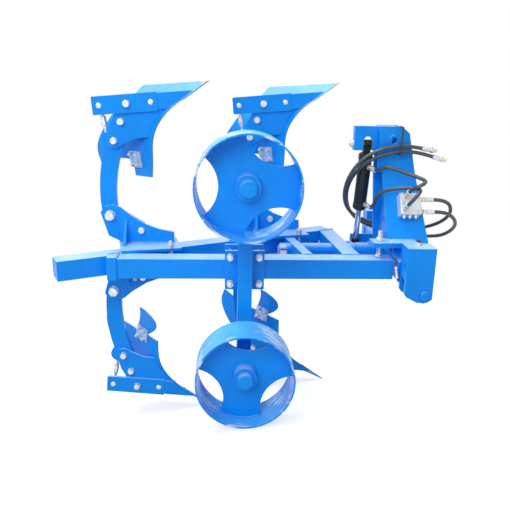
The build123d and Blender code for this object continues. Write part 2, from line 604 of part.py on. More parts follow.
def build_cylinder():
    """Built hanging straight down from its pivot, then swung out to the crank's pin."""
    eye = along_x((-EYE_WIDTH / 2, EYE_WIDTH / 2), 0, 0, 17)
    eye += box((-EYE_WIDTH / 2, EYE_WIDTH / 2), (-13, 13), (-BARREL_TOP, 0))
    eye -= along_x((-50, 50), 0, 0, PIVOT_PIN_R + RUNNING)
    barrel = rod_between((0, 0, -BARREL_TOP), (0, 0, -BARREL_END), BARREL_R)
    for down, angle in BARREL_PORTS:
        a = math.radians(angle)
        out = BARREL_R + PORT_LENGTH
        barrel += rod_between((0, 0, -down), (out * math.cos(a), -out * math.sin(a), -down), FITTING_R)
    barrel -= rod_between((0, 0, -BARREL_TOP - 20), (0, 0, -BARREL_END + 20), BARREL_R - 6)
    barrel -= rod_between((0, 0, -BARREL_TOP - 60), (0, 0, -BARREL_END - 1), ROD_R + RUNNING)
    keep("cylinder_barrel", cylinder_place * (eye + barrel))
    head = BARREL_TOP + ROD_STROKE + 25
    rod = rod_between((0, 0, -head), (0, 0, -cylinder_length + ROD_EYE_R - 3), ROD_R)
    rod += rod_between((0, 0, -head), (0, 0, -head - 20), BARREL_R - 6.5)
    half = ROD_EYE_WIDTH / 2
    rod += along_x((-half, half), 0, -cylinder_length, ROD_EYE_R)
    rod += along_x((-half - 4, half + 12), 0, -cylinder_length, 9)
    keep("cylinder_rod", cylinder_place * rod)


# ---------------------------------------------------------------- hoses
def port(down, angle, out):
    """A point on a barrel port's axis, out from the barrel's axis."""
    a = math.radians(angle)
    return tuple((cylinder_place * Pos(out * math.cos(a), -out * math.sin(a), -down)).position)


# routes, from the valve block
SUPPLY_A = (
    block_point(BLOCK[0] / 2 + FITTING_LENGTH, 0, FRONT_PORTS[0]),
    block_point(BLOCK[0] / 2 + FITTING_LENGTH + 38, 0, FRONT_PORTS[0]),
    (858, -127, 244), (878, -104, 210), (880, -72, 176), (864, -36, 144), (832, 2, 116), (790, 40, 97),
    (744, 68, 87), (694, 84, 87), (640, 93, 95), (588, 102, 108), (544, 110, 124), (504, 106, 146),
    (474, 90, 178), (455, 66, 216), (446, 38, 258), (446, 8, 302), (455, -18, 344), (474, -40, 384),
    (502, -56, 420), (540, -66, 446), (588, -71, 464), (640, -72, 474), (692, -70, 472), (742, -68, 464),
)
SUPPLY_B = (
    block_point(BLOCK[0] / 2 + FITTING_LENGTH, 0, FRONT_PORTS[1]),
    block_point(BLOCK[0] / 2 + FITTING_LENGTH + 40, 0, FRONT_PORTS[1]),
    (860, -148, 200), (892, -126, 172), (908, -92, 140), (906, -52, 108), (888, -14, 80), (856, 26, 63),
    (810, 62, 57), (756, 90, 59), (700, 108, 64), (644, 120, 73), (592, 130, 87), (548, 138, 106),
    (512, 138, 134), (487, 124, 170), (471, 100, 210), (463, 70, 252), (463, 37, 294), (472, 6, 334),
    (491, -22, 370), (519, -45, 402), (555, -61, 426), (598, -70, 442), (646, -72, 452), (696, -70, 450),
    (746, -68, 442), (790, -66, 430),
)
LIFT_HOSE = (
    block_point(FACE_PORTS[0][0], -BLOCK[2] / 2 - ELBOW_LENGTH, FACE_PORTS[0][1]),
    block_point(FACE_PORTS[0][0], -BLOCK[2] / 2 - ELBOW_LENGTH - 26, FACE_PORTS[0][1]),
    (673, -226, 325), (692, -238, 337), (713, -226, 345), (722, -200, 350), (714, -172, 354), (692, -148, 361),
    (662, -128, 370), (628, -111, 381), (590, -91, 390),
    port(BARREL_PORTS[0][0], BARREL_PORTS[0][1], BARREL_R + PORT_LENGTH + 30),
    port(BARREL_PORTS[0][0], BARREL_PORTS[0][1], BARREL_R + PORT_LENGTH),
)
LOWER_HOSE = (
    block_point(FACE_PORTS[1][0], -BLOCK[2] / 2 - ELBOW_LENGTH, FACE_PORTS[1][1]),
    block_point(FACE_PORTS[1][0], -BLOCK[2] / 2 - ELBOW_LENGTH - 24, FACE_PORTS[1][1]),
    (662, -250, 279), (675, -257, 300), (692, -243, 314), (697, -216, 318), (684, -189, 317), (655, -167, 314),
    (620, -150, 309), (588, -130, 299), (567, -102, 280), (560, -71, 254), (563, -42, 226),
    port(BARREL_PORTS[1][0], BARREL_PORTS[1][1], BARREL_R + PORT_LENGTH + 26),
    port(BARREL_PORTS[1][0], BARREL_PORTS[1][1], BARREL_R + PORT_LENGTH),
)


def hose(name, route):
    """A hose along straight runs joined by arcs, as large as the runs allow."""
    points = [Vector(*p) for p in route]
    runs = [b - a for a, b in zip(points, points[1:])]
    turns = [a.get_angle(b) for a, b in zip(runs, runs[1:])]
    radii = [0.45 * min(a.length, b.length) / math.tan(math.radians(t) / 2)
             for a, b, t in zip(runs, runs[1:], turns)]
    print(name, "radii", [round(r) for r in radii], "turns", [round(t) for t in turns])
    path = FilletPolyline(*points, radius=radii)
    tube = sweep(Plane(origin=points[0], z_dir=runs[0]) * Circle(HOSE_R), path=path)
    print(name, "length", round(path.length), "volume ratio",
          round(tube.volume / (math.pi * HOSE_R ** 2 * path.length), 4))
    keep(name, tube)


def build_hoses():
    hose("supply_hose_a", SUPPLY_A)
    hose("supply_hose_b", SUPPLY_B)
    hose("lift_hose_upper", LIFT_HOSE)
    hose("lift_hose_lower", LOWER_HOSE)
    for name, route in zip("ab", (SUPPLY_A, SUPPLY_B)):
        start = Vector(*route[-1])
        along = (start - Vector(*route[-2])).normalized()
        keep(f"hose_coupling_{name}", rod_between(start, start + along * COUPLING_LENGTH, COUPLING_R))
    x = 645.0
    face = -MAST_GAP / 2 - MAST_PLATE
    near = -72 - HOSE_R - 3.5
    strap = box((x, x + TIE_WIDTH), (near, near + 2), (436, MAST_TOP + 2))
    strap += box((x, x + TIE_WIDTH), (near, -MAST_GAP / 2), (MAST_TOP, MAST_TOP + 2))
    strap += box((x, x + TIE_WIDTH), (near, face), (436, 438))
    keep("hose_tie", strap)


build_frame()
build_bodies()
build_wheels()
build_headstock()
build_cylinder()
build_hoses()

# ---------------------------------------------------------------- resting pose
def lowest_on_wheel(up):
    """The point of the lower wheel's outer rim that is lowest when up points up."""
    across = up - Vector(0, up.Y, 0)
    return Vector(0, WHEEL_NEAR_Y, -WHEEL_Z) - across.normalized() * WHEEL_R


def resting_place():
    """Turns the plough onto its lower wheel and the tips of its lower shares."""
    w, u = SHARE_SECTIONS[0][0], SHARE_SECTIONS[0][1]
    rear_tip = Vector(*(body_place * Pos(u, 0, w)).position)
    front_tip = rear_tip + Vector(*BODY_STEP, 0)
    up = Vector(0, 0, 1)
    for _ in range(40):
        wheel = lowest_on_wheel(up)
        up = (front_tip - rear_tip).cross(wheel - rear_tip).normalized()
        up = up if up.Z > 0 else up * -1
    forward = (Vector(1, 0, 0) - up * up.X).normalized()
    return Plane(origin=ORIGIN, x_dir=forward, z_dir=up).location.inverse(), up


resting, up = resting_place()
print("up", up, "lean", round(math.degrees(math.acos(up.Z)), 2))

os.makedirs("parts", exist_ok=True)
for name, solids in nodes.items():
    placed = [resting * solid for solid in solids]
    shape = placed[0] if len(placed) == 1 else Compound(children=placed)
    export_step(shape, f"parts/{name}.step")
print(len(nodes), "nodes")
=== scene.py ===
"""Looks of the mounted reversible mouldboard plough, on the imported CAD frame.

Pieces are built in the plough's own frame, in millimetres: x forward from the depth wheels' axles, y left
and z up from the turnover axis. PLACE takes that frame to the resting pose that the CAD is packed in.
"""
import json
import math
import random

import bpy
from mathutils import Matrix, Vector


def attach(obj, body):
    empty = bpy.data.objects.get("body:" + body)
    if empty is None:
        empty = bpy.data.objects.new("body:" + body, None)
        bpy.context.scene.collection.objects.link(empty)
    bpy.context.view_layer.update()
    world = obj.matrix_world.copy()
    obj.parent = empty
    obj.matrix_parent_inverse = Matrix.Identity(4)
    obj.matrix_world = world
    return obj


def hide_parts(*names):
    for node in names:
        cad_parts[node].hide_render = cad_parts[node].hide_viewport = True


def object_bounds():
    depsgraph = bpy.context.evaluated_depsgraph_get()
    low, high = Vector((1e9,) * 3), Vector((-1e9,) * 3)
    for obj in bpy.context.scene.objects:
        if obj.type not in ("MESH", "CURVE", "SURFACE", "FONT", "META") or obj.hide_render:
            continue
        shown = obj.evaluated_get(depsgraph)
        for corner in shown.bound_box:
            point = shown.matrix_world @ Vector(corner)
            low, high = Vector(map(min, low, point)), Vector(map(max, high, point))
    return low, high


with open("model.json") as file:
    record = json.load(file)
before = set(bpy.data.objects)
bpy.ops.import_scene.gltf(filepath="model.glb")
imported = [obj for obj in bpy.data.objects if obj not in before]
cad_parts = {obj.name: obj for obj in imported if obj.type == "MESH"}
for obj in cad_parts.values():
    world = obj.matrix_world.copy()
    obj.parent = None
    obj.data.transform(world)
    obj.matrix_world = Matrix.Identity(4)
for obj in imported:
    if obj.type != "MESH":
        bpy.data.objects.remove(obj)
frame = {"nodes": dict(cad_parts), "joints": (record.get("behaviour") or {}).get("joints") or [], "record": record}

cad_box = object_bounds()
nodes = frame["nodes"]
random.seed(7)

# ---------------------------------------------------------------- the plough's own frame
MM = 0.001
X, Y, Z = Vector((1, 0, 0)), Vector((0, 1, 0)), Vector((0, 0, 1))
NEAR, FAR = Vector((0, -1, 0)), Vector((0, 1, 0))
REAR, FRONT = 0, 1
LOWER, UPPER = -1, 1
TO_FRONT = Vector((562, 238, 0))        # from a rear body to the front one
AXLE_Z = 365                            # of the upper depth wheel, and of the lower one below zero

joint = {j["name"]: j for j in frame["joints"]}
FORWARD = Vector(joint["turnover"]["axis"]).normalized()
wheel_at = {n: Vector(joint[f"wheel_{n}_spin"]["pos_m"]) for n in ("upper", "lower")}
UP = (wheel_at["upper"] - wheel_at["lower"]).normalized()
LEFT = UP.cross(FORWARD)
AXES = Matrix((FORWARD, LEFT, UP))
hinge = Vector(joint["turnover"]["pos_m"])
between = (wheel_at["upper"] + wheel_at["lower"]) / 2
start = hinge + FORWARD * (between - hinge).dot(FORWARD)
PLACE = Matrix.Translation(start) @ AXES.transposed().to_4x4() @ Matrix.Scale(MM, 4)


def at(x, y, z):
    """A point of the plough's frame, in the row frame."""
    return PLACE @ Vector((x, y, z))


# ---------------------------------------------------------------- camera
SENSOR, LENS = 36, 41.83
CAMERA_AT = (-86.93, -2518.85, 722.99)
CAMERA_AXES = ((0.99850, -0.05079, 0.02031), (-0.00507, 0.28378, 0.95888), (-0.05447, -0.95754, 0.28310))

camera = bpy.data.objects.new("camera", bpy.data.cameras.new("camera"))
bpy.context.scene.collection.objects.link(camera)
camera.data.sensor_width = SENSOR
camera.data.lens = LENS
turned_view = PLACE.to_3x3() @ Matrix(CAMERA_AXES).transposed()
turned_view = Matrix([v.normalized() for v in turned_view.transposed()]).transposed()
camera.matrix_world = Matrix.Translation(at(*CAMERA_AT)) @ turned_view.to_4x4()
bpy.context.scene.camera = camera


# ---------------------------------------------------------------- materials
def new_material(name):
    """A material, its tree and shader, and the object's coordinates in it."""
    made = bpy.data.materials.new(name)
    made.use_nodes = True
    made.node_tree.nodes.clear()
    tree = made.node_tree
    out = tree.nodes.new("ShaderNodeOutputMaterial")
    shade = tree.nodes.new("ShaderNodeBsdfPrincipled")
    tree.links.new(shade.outputs[0], out.inputs[0])
    where = tree.nodes.new("ShaderNodeTexCoord").outputs["Object"]
    return made, tree, shade, where


def node(tree, kind, links=(), **values):
    """A shader node. links gives its inputs as (name or number, output or value); values its properties."""
    made = tree.nodes.new(kind)
    for key, value in values.items():
        setattr(made, key, value)
    for key, value in links:
        if isinstance(value, bpy.types.NodeSocket):
            tree.links.new(value, made.inputs[key])
        else:
            made.inputs[key].default_value = value
    return made


def noise(tree, where, scale, detail=4.0, rough=0.55):
    """Soft noise from 0 to 1. scale is in cells per metre."""
    return node(tree, "ShaderNodeTexNoise", (("Vector", where), ("Scale", scale), ("Detail", detail),
                                             ("Roughness", rough))).outputs["Fac"]


def band(tree, value, low, high, to_low=0.0, to_high=1.0):
    """value from low to high, as to_low to to_high, held outside that."""
    return node(tree, "ShaderNodeMapRange", (("Value", value), ("From Min", low), ("From Max", high),
                                             ("To Min", to_low), ("To Max", to_high))).outputs[0]


def blend(tree, amount, a, b):
    """The colour a, going over to b as amount goes from 0 to 1."""
    return node(tree, "ShaderNodeMix", ((0, amount), (6, a), (7, b)), data_type="RGBA").outputs[2]


def math_node(tree, kind, a, b):
    """A sum, product or other measure of two numbers."""
    return node(tree, "ShaderNodeMath", ((0, a), (1, b)), operation=kind).outputs[0]


def vector_node(tree, kind, a, b):
    """A number that two vectors give, such as their distance."""
    return node(tree, "ShaderNodeVectorMath", ((0, a), (1, b)), operation=kind).outputs["Value"]


def edges(tree, radius):
    """How near an outer edge is, and the normal rounded over it."""
    soft = node(tree, "ShaderNodeBevel", (("Radius", radius),), samples=6).outputs[0]
    flat = node(tree, "ShaderNodeNewGeometry").outputs["Normal"]
    close = vector_node(tree, "DOT_PRODUCT", soft, flat)
    return band(tree, close, 0.995, 0.86), soft


def finish_off(tree, shade, height, distance, strength, normal=None):
    """Gives the shader its bump, on top of a rounded normal where there is one."""
    links = [("Height", height), ("Distance", distance), ("Strength", strength)]
    if normal is not None:
        links.append(("Normal", normal))
    tree.links.new(node(tree, "ShaderNodeBump", links).outputs[0], shade.inputs["Normal"])


CHIPPED = (0.30, 0.27, 0.25, 1)         # steel in a small chip
SCUFFED = (0.66, 0.76, 0.88, 1)         # paint scraped pale
BARE = (0.55, 0.33, 0.30, 1)            # the worn end of a share


def paint(name, deep, light, dust_and_edge_highlight, bloom_and_sheen, scuff=None, tip=None):
    """Sprayed enamel: cloudy coats, a painted sheen on what faces up, orange peel, thin painted edge highlights,
    small chips.

    scuff is the turn of the streaks on a scraped surface, and tip the point round which the paint is gone.
    """
    made, tree, shade, where = new_material(name)
    cloud = noise(tree, where, 5.0, 5.0)
    colour = blend(tree, band(tree, cloud, 0.35, 0.68), (*deep, 1), (*light, 1))
    dust = band(tree, noise(tree, where, 38.0, 6.0, 0.7), 0.58, 0.80, 0.0, 0.16)
    colour = blend(tree, dust, colour, (*dust_and_edge_highlight, 1))

    # painted sheen: what faces up is painted paler, unevenly, as if lit from above
    facing = node(tree, "ShaderNodeTexCoord").outputs["Normal"]
    above = node(tree, "ShaderNodeSeparateXYZ", ((0, facing),)).outputs[2]
    uneven = band(tree, noise(tree, where, 16.0, 5.0, 0.65), 0.3, 0.7, 0.72, 1.15)
    painted_sheen = math_node(tree, "MULTIPLY", band(tree, above, 0.35, 0.85, 0.0, 0.66), uneven)
    colour = blend(tree, painted_sheen, colour, (*bloom_and_sheen, 1))

    # painted highlights: a thin pale line, in patches, along the outer edges; dark chips sit in it
    near_edge, soft = edges(tree, 0.0022)
    patchy = band(tree, noise(tree, where, 60.0, 5.0, 0.7), 0.34, 0.6, 0.25, 0.85)
    colour = blend(tree, math_node(tree, "MULTIPLY", near_edge, patchy), colour, (*dust_and_edge_highlight, 1))
    specks = band(tree, noise(tree, where, 140.0, 3.0), 0.71, 0.74)
    colour = blend(tree, math_node(tree, "MULTIPLY", near_edge, specks), colour, CHIPPED)
    rough = band(tree, noise(tree, where, 22.0, 5.0), 0.3, 0.7, 0.24, 0.40)
    if scuff:
        along = node(tree, "ShaderNodeMapping",
                     (("Vector", where), ("Rotation", scuff), ("Scale", (5.0, 95.0, 5.0))),
                     vector_type="POINT").outputs[0]
        streaks = band(tree, noise(tree, along, 1.0, 8.0, 0.72), 0.47, 0.54)
        patch = band(tree, noise(tree, where, 9.0, 4.0, 0.6), 0.50, 0.56)
        worn = math_node(tree, "MULTIPLY", streaks, patch)
        colour = blend(tree, worn, colour, SCUFFED)
        rough = math_node(tree, "ADD", rough, math_node(tree, "MULTIPLY", worn, 0.25))
    if tip:
        away = vector_node(tree, "DISTANCE", where, tip)
        ragged = math_node(tree, "ADD", away, band(tree, noise(tree, where, 90.0), 0.3, 0.7, -0.012, 0.012))
        colour = blend(tree, band(tree, ragged, 0.034, 0.028), colour, BARE)
    tree.links.new(colour, shade.inputs["Base Color"])
    tree.links.new(rough, shade.inputs["Roughness"])
    shade.inputs["Specular IOR Level"].default_value = 0.16
    shade.inputs["Coat Weight"].default_value = 0.05
    shade.inputs["Coat Roughness"].default_value = 0.14
    peel = math_node(tree, "ADD", noise(tree, where, 320.0, 2.0), math_node(tree, "MULTIPLY", cloud, 2.0))
    finish_off(tree, shade, peel, 0.0006, 0.10, soft)
    return made


def metal(name, dark, light, rough, metallic, grain=140.0, stain=None, bump=0.12, stretch=None):
    """Plated or machined metal: spangle, faint stain, fine grain, drawn out where stretch is given."""
    made, tree, shade, where = new_material(name)
    grain_at = where
    if stretch:
        grain_at = node(tree, "ShaderNodeMapping", (("Vector", where), ("Scale", stretch))).outputs[0]
    fleck = noise(tree, grain_at, grain, 3.0)
    cloud = noise(tree, where, 24.0, 4.0)
    colour = blend(tree, band(tree, fleck, 0.35, 0.65), (*dark, 1), (*light, 1))
    colour = blend(tree, band(tree, cloud, 0.4, 0.75, 0.0, 0.35), colour, (*dark, 1))
    if stain:
        spots = band(tree, noise(tree, where, 70.0, 5.0, 0.7), 0.62, 0.72, 0.0, 0.7)
        colour = blend(tree, spots, colour, (*stain, 1))
    tree.links.new(colour, shade.inputs["Base Color"])
    tree.links.new(band(tree, cloud, 0.3, 0.7, *rough), shade.inputs["Roughness"])
    shade.inputs["Metallic"].default_value = metallic
    _, soft = edges(tree, 0.0010)
    finish_off(tree, shade, fleck, 0.0003, bump, soft)
    return made


def rubber(name, dark, light, rough):
    """A hose cover: a wrapped-cloth print and a dusty mottle."""
    made, tree, shade, where = new_material(name)
    cloth = node(tree, "ShaderNodeTexVoronoi", (("Vector", where), ("Scale", 620.0))).outputs["Distance"]
    bloom_and_sheen = noise(tree, where, 30.0, 5.0, 0.65)
    colour = blend(tree, band(tree, bloom_and_sheen, 0.35, 0.7), (*dark, 1), (*light, 1))
    tree.links.new(colour, shade.inputs["Base Color"])
    tree.links.new(band(tree, bloom_and_sheen, 0.3, 0.7, *rough), shade.inputs["Roughness"])
    shade.inputs["Specular IOR Level"].default_value = 0.62
    finish_off(tree, shade, cloth, 0.0004, 0.22)
    return made


# the third colour is the pale blue of the dust and of the painted edge highlights
BLUE, BLUE_LIGHT, PALE_DUST_AND_HIGHLIGHT = (0.002, 0.243, 0.800), (0.003, 0.290, 0.900), (0.10, 0.48, 0.92)
# colours of the painted sheen on faces that look up: on most paint, and on the wheels' rims
TOP_SHEEN, RIM_TOP_SHEEN = (0.46, 0.64, 0.88), (0.12, 0.52, 0.90)
UPPER_REAR_TIP = (-140, -70, 715)       # the one share whose end is worn bare
round_the_rims = tuple(AXES.to_euler())
blue = paint("blue_enamel", BLUE, BLUE_LIGHT, PALE_DUST_AND_HIGHLIGHT, TOP_SHEEN)
rim_blue = paint("blue_enamel_scuffed", BLUE, BLUE_LIGHT, PALE_DUST_AND_HIGHLIGHT, RIM_TOP_SHEEN, scuff=round_the_rims)
share_blue = paint("blue_enamel_bare_tip", BLUE, BLUE_LIGHT, PALE_DUST_AND_HIGHLIGHT, TOP_SHEEN, tip=tuple(at(*UPPER_REAR_TIP)))
# black enamel: grey for its dust and painted edge highlights, and a painted sheen on what faces up
black = paint("black_enamel", (0.012, 0.014, 0.018), (0.022, 0.025, 0.030), (0.09, 0.10, 0.12),
              (0.07, 0.08, 0.10))
zinc = metal("galvanised", (0.50, 0.53, 0.56), (0.80, 0.83, 0.85), (0.30, 0.50), 0.75,
             stain=(0.42, 0.36, 0.28))
plate_zinc = metal("galvanised_plate", (0.20, 0.38, 0.64), (0.46, 0.64, 0.88), (0.30, 0.48), 0.55,
                   grain=60.0, stain=(0.30, 0.33, 0.36))
champagne = metal("yellow_zinc", (0.52, 0.49, 0.40), (0.80, 0.77, 0.66), (0.20, 0.36), 0.9)
chrome = metal("hard_chrome", (0.55, 0.60, 0.64), (0.72, 0.76, 0.80), (0.06, 0.13), 1.0, bump=0.03)
cast = metal("milled_aluminium", (0.66, 0.70, 0.71), (0.84, 0.87, 0.88), (0.34, 0.50), 0.45, bump=0.10,
             stretch=(1.0, 1.0, 14.0))
wire_steel = metal("lanyard_wire", (0.10, 0.09, 0.08), (0.30, 0.27, 0.24), (0.35, 0.50), 0.8)
hose_cover = rubber("hose_rubber", (0.030, 0.040, 0.052), (0.060, 0.074, 0.090), (0.34, 0.52))
nylon = rubber("black_nylon", (0.010, 0.011, 0.013), (0.022, 0.023, 0.026), (0.30, 0.45))

# ---------------------------------------------------------------- CAD nodes' materials
SLOTS = {"blue_paint": blue, "black_paint": black, "chrome": chrome, "zinc": zinc, "aluminium": cast,
         "hose_rubber": hose_cover, "nylon": nylon}
OWN = {"splice_plates": plate_zinc, "hose_tie": nylon}
BY_KIND = {"wheel_ring": rim_blue, "share": share_blue}

slot_of = {s["node"]: s["material_slot"] for s in frame["record"]["subparts"]}
for name, thing in nodes.items():
    finish = OWN.get(name, SLOTS[slot_of[name]])
    for kind, special in BY_KIND.items():
        if name.startswith(kind):
            finish = special
    thing.data.materials.clear()
    thing.data.materials.append(finish)

# ---------------------------------------------------------------- mesh pieces
HEX_SIDES, WIRE_SIDES, BEAD_SIDES = 48, 10, 8
WASHER, WASHER_THICK = 1.2, 0.12        # a washer's width and thickness, as parts of its nut's width
BEAD_STEP, RIPPLE = 1.6, 5.5            # along a weld bead: between its sections, and between its ripples
BEAD_SHARP = 60                         # beads shade smooth up to this angle, in degrees


def across(axis):
    """An axis as a unit direction, and two more square to it."""
    axis = Vector(axis).normalized()
    side = Z if abs(axis.z) < 0.8 else X
    first = axis.cross(side).normalized()
    return axis, first, axis.cross(first)


def circle(middle, a, b, radius, sides):
    """Points round middle, in the plane of the unit directions a and b."""
    return [middle + (a * math.cos(t) + b * math.sin(t)) * radius
            for t in (2 * math.pi * k / sides for k in range(sides))]


class Lot:
    """Solids, in the plough's millimetres, that make one piece."""

    def __init__(self):
        self.points, self.faces = [], []

    def rings(self, rows):
        """A skin over rings of points, each with as many points, with its ends capped."""
        base, n, m = len(self.points), len(rows[0]), len(rows)
        for row in rows:
            self.points += row
        for i in range(m - 1):
            here, there = base + i * n, base + (i + 1) * n
            for k in range(n):
                k2 = (k + 1) % n
                self.faces.append((here + k, here + k2, there + k2, there + k))
        self.faces.append(tuple(base + k for k in reversed(range(n))))
        self.faces.append(tuple(base + (m - 1) * n + k for k in range(n)))
        return self

    def turned(self, start, axis, profile, sides=28):
        """A lathed solid: profile is (distance along the axis, radius)."""
        axis, a, b = across(axis)
        start = Vector(start)
        return self.rings([circle(start + axis * s, a, b, max(r, 0.02), sides) for s, r in profile])

    def hexed(self, start, axis, flats, length, turn=0.0, both=False):
        """A hexagon with its corners turned off at the far end, or at both."""
        axis, a, b = across(axis)
        start = Vector(start)
        corner = flats / 2 / math.cos(math.pi / 6)
        round_end = flats / 2 * 0.96
        cut = corner - round_end
        levels = [(0.0, both), (cut * 0.25, both), (cut * 0.6, both), (cut * 1.1, False)]
        levels += [(length - cut * 0.6, True), (length - cut * 0.25, True), (length, True)]
        rows = []
        for s, trimmed in levels:
            away = min(s if both else length, length - s)
            limit = round_end + away * 1.7 if trimmed else corner
            row = []
            for k in range(HEX_SIDES):
                t = 2 * math.pi * k / HEX_SIDES
                off_flat = abs((t + math.pi / 6) % (math.pi / 3) - math.pi / 6)
                r = min(flats / 2 / math.cos(off_flat), limit)
                row.append(start + axis * s + (a * math.cos(t + turn) + b * math.sin(t + turn)) * r)
            rows.append(row)
        return self.rings(rows)

    def threaded(self, start, axis, radius, length, pitch=2.2, sides=20):
        """A screw's thread, as ridges, with its end broken."""
        steps = max(2, int(length / pitch * 2))
        profile = [(length * i / steps, radius * (1.0 if i % 2 else 0.88)) for i in range(steps + 1)]
        profile[-1] = (length, radius * 0.80)
        return self.turned(start, axis, profile, sides)

    def washer(self, start, axis, flats):
        """A nut's washer. Gives where the nut stands on it, and its axis."""
        axis = Vector(axis).normalized()
        rim, thick = flats * WASHER / 2, flats * WASHER_THICK
        self.turned(start, axis, ((0, rim), (thick * 0.8, rim), (thick, rim - 0.5)))
        return Vector(start) + axis * thick, axis

    def bolt(self, start, axis, flats):
        """A hex head on its washer, standing on start."""
        seat, axis = self.washer(start, axis, flats)
        return self.hexed(seat, axis, flats, flats * 0.6, random.random() * 3)

    def nut(self, start, axis, flats, stand=0.3):
        """A nut on its washer. The end of its screw stands out by that part of its width."""
        seat, axis = self.washer(start, axis, flats)
        self.hexed(seat, axis, flats, flats * 0.75, random.random() * 3, both=True)
        return self.threaded(seat, axis, flats * 0.32, flats * (0.75 + stand))

    def cup(self, start, axis, radius, high):
        """A low domed head."""
        return self.turned(start, axis, [(high * math.sin(t), radius * math.cos(t) ** 0.6)
                                         for t in (0.0, 0.35, 0.7, 1.05, 1.35, 1.52)])

    def weld(self, path, leg, closed=False):
        """A rippled weld bead along a path."""
        path = [Vector(p) for p in path]
        if closed:
            path.append(path[0])
        line = []
        for a, b in zip(path, path[1:]):
            n = max(1, round((b - a).length / BEAD_STEP))
            line += [a.lerp(b, i / n) for i in range(n)]
        line.append(path[-1])
        last = len(line) - 1
        rows, run = [], random.random() * 5
        for i, p in enumerate(line):
            _, a, b = across(line[min(i + 1, last)] - line[max(i - 1, 0)])
            run += BEAD_STEP
            wave = abs(math.sin(run * math.pi / RIPPLE))
            r = leg * (0.80 + 0.20 * wave + random.uniform(-0.03, 0.03))
            if not closed and i in (0, last):
                r *= 0.55
            rows.append(circle(p, a, b, r, BEAD_SIDES))
        return self.rings(rows)

    def wire(self, path, radius):
        """A round bar along points."""
        path = [Vector(p) for p in path]
        rows, first = [], None
        for i, p in enumerate(path):
            way = (path[min(i + 1, len(path) - 1)] - path[max(i - 1, 0)]).normalized()
            if first is None:
                _, first, _ = across(way)
            first = (first - way * first.dot(way)).normalized()
            rows.append(circle(p, first, way.cross(first), radius, WIRE_SIDES))
        return self.rings(rows)

    def slab(self, middle, x, y, z, cut=0.8):
        """A block with broken edges. x, y and z are its half sizes as vectors."""
        middle, x, y, z = Vector(middle), Vector(x), Vector(y), Vector(z)
        lx, ly, lz = x.length, y.length, z.length
        x, y, z = x.normalized(), y.normalized(), z.normalized()
        rows = []
        for h, inset in ((-lz, cut), (-lz + cut, 0), (lz - cut, 0), (lz, cut)):
            a, b = lx - inset, ly - inset
            row = []
            for sa, sb, order in ((1, 1, 0), (-1, 1, 1), (-1, -1, 0), (1, -1, 1)):
                pair = [(sa * a, sb * (b - cut)), (sa * (a - cut), sb * b)]
                row += pair[::-1] if order else pair
            rows.append([middle + z * h + x * p + y * q for p, q in row])
        return self.rings(rows)

    def piece(self, name, body, material, slot, angle=32):
        """The lot as one object that rides on body. Edges over angle, in degrees, stay sharp."""
        mesh = bpy.data.meshes.new(name)
        mesh.from_pydata([PLACE @ p for p in self.points], [], self.faces)
        mesh.validate()
        mesh.shade_smooth()
        mesh.set_sharp_from_angle(angle=math.radians(angle))
        mesh.materials.append(material)
        made = bpy.data.objects.new(name, mesh)
        bpy.context.scene.collection.objects.link(made)
        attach(made, body)
        return made

    def bead_piece(self, name, body):
        """The lot as one piece of painted weld beads."""
        return self.piece(name, body, blue, "blue_paint", BEAD_SHARP)


# ---------------------------------------------------------------- hoses
HOSE = 7.75                             # radius of all four hoses
OUT = Vector((0, -0.8499, 0.5270))      # out of the valve block's near face
SLOPE = Vector((0, 0.5270, 0.8499))     # up the mast's slope
BLOCK = Vector((682, -142.63, 238.12))  # the valve block's middle
SUPPLY_A = (
    (782, -128.9, 260.2), (820, -128.9, 260.2), (858, -127, 244), (878, -104, 210), (880, -72, 176),
    (864, -36, 144), (832, 2, 116), (790, 40, 97), (744, 68, 87), (694, 84, 87), (640, 93, 95),
    (588, 102, 108), (544, 110, 124), (504, 106, 146), (474, 90, 178), (455, 66, 216), (446, 38, 258),
    (446, 8, 302), (455, -18, 344), (474, -40, 384), (502, -56, 420), (540, -66, 446), (588, -71, 464),
    (640, -72, 474), (692, -70, 472), (742, -68, 464),
)
SUPPLY_B = (
    (782, -157.4, 214.3), (822, -157.4, 214.3), (860, -148, 200), (892, -126, 172), (908, -92, 140),
    (906, -52, 108), (888, -14, 80), (856, 26, 63), (810, 62, 57), (756, 90, 59), (700, 108, 64),
    (644, 120, 73), (592, 130, 87), (548, 138, 106), (512, 138, 134), (487, 124, 170), (471, 100, 210),
    (463, 70, 252), (463, 37, 294), (472, 6, 334), (491, -22, 370), (519, -45, 402), (555, -61, 426),
    (598, -70, 442), (646, -72, 452), (696, -70, 450), (746, -68, 442), (790, -66, 430),
)
LIFT_HOSE = (
    (664, -177, 294.7), (664, -199.1, 308.4), (673, -226, 325), (692, -238, 337), (713, -226, 345),
    (722, -200, 350), (714, -172, 354), (692, -148, 361), (662, -128, 370), (628, -111, 381),
    (590, -91, 390), (555.7, -52.3, 365.9), (543.5, -25.5, 371.5),
)
LOWER_HOSE = (
    (656, -206.5, 247.1), (656, -226.9, 259.8), (662, -250, 279), (675, -257, 300), (692, -243, 314),
    (697, -216, 318), (684, -189, 317), (655, -167, 314), (620, -150, 309), (588, -130, 299),
    (567, -102, 280), (560, -71, 254), (563, -42, 226), (561.2, -9.5, 198.1), (548.2, 12.5, 202.7),
)


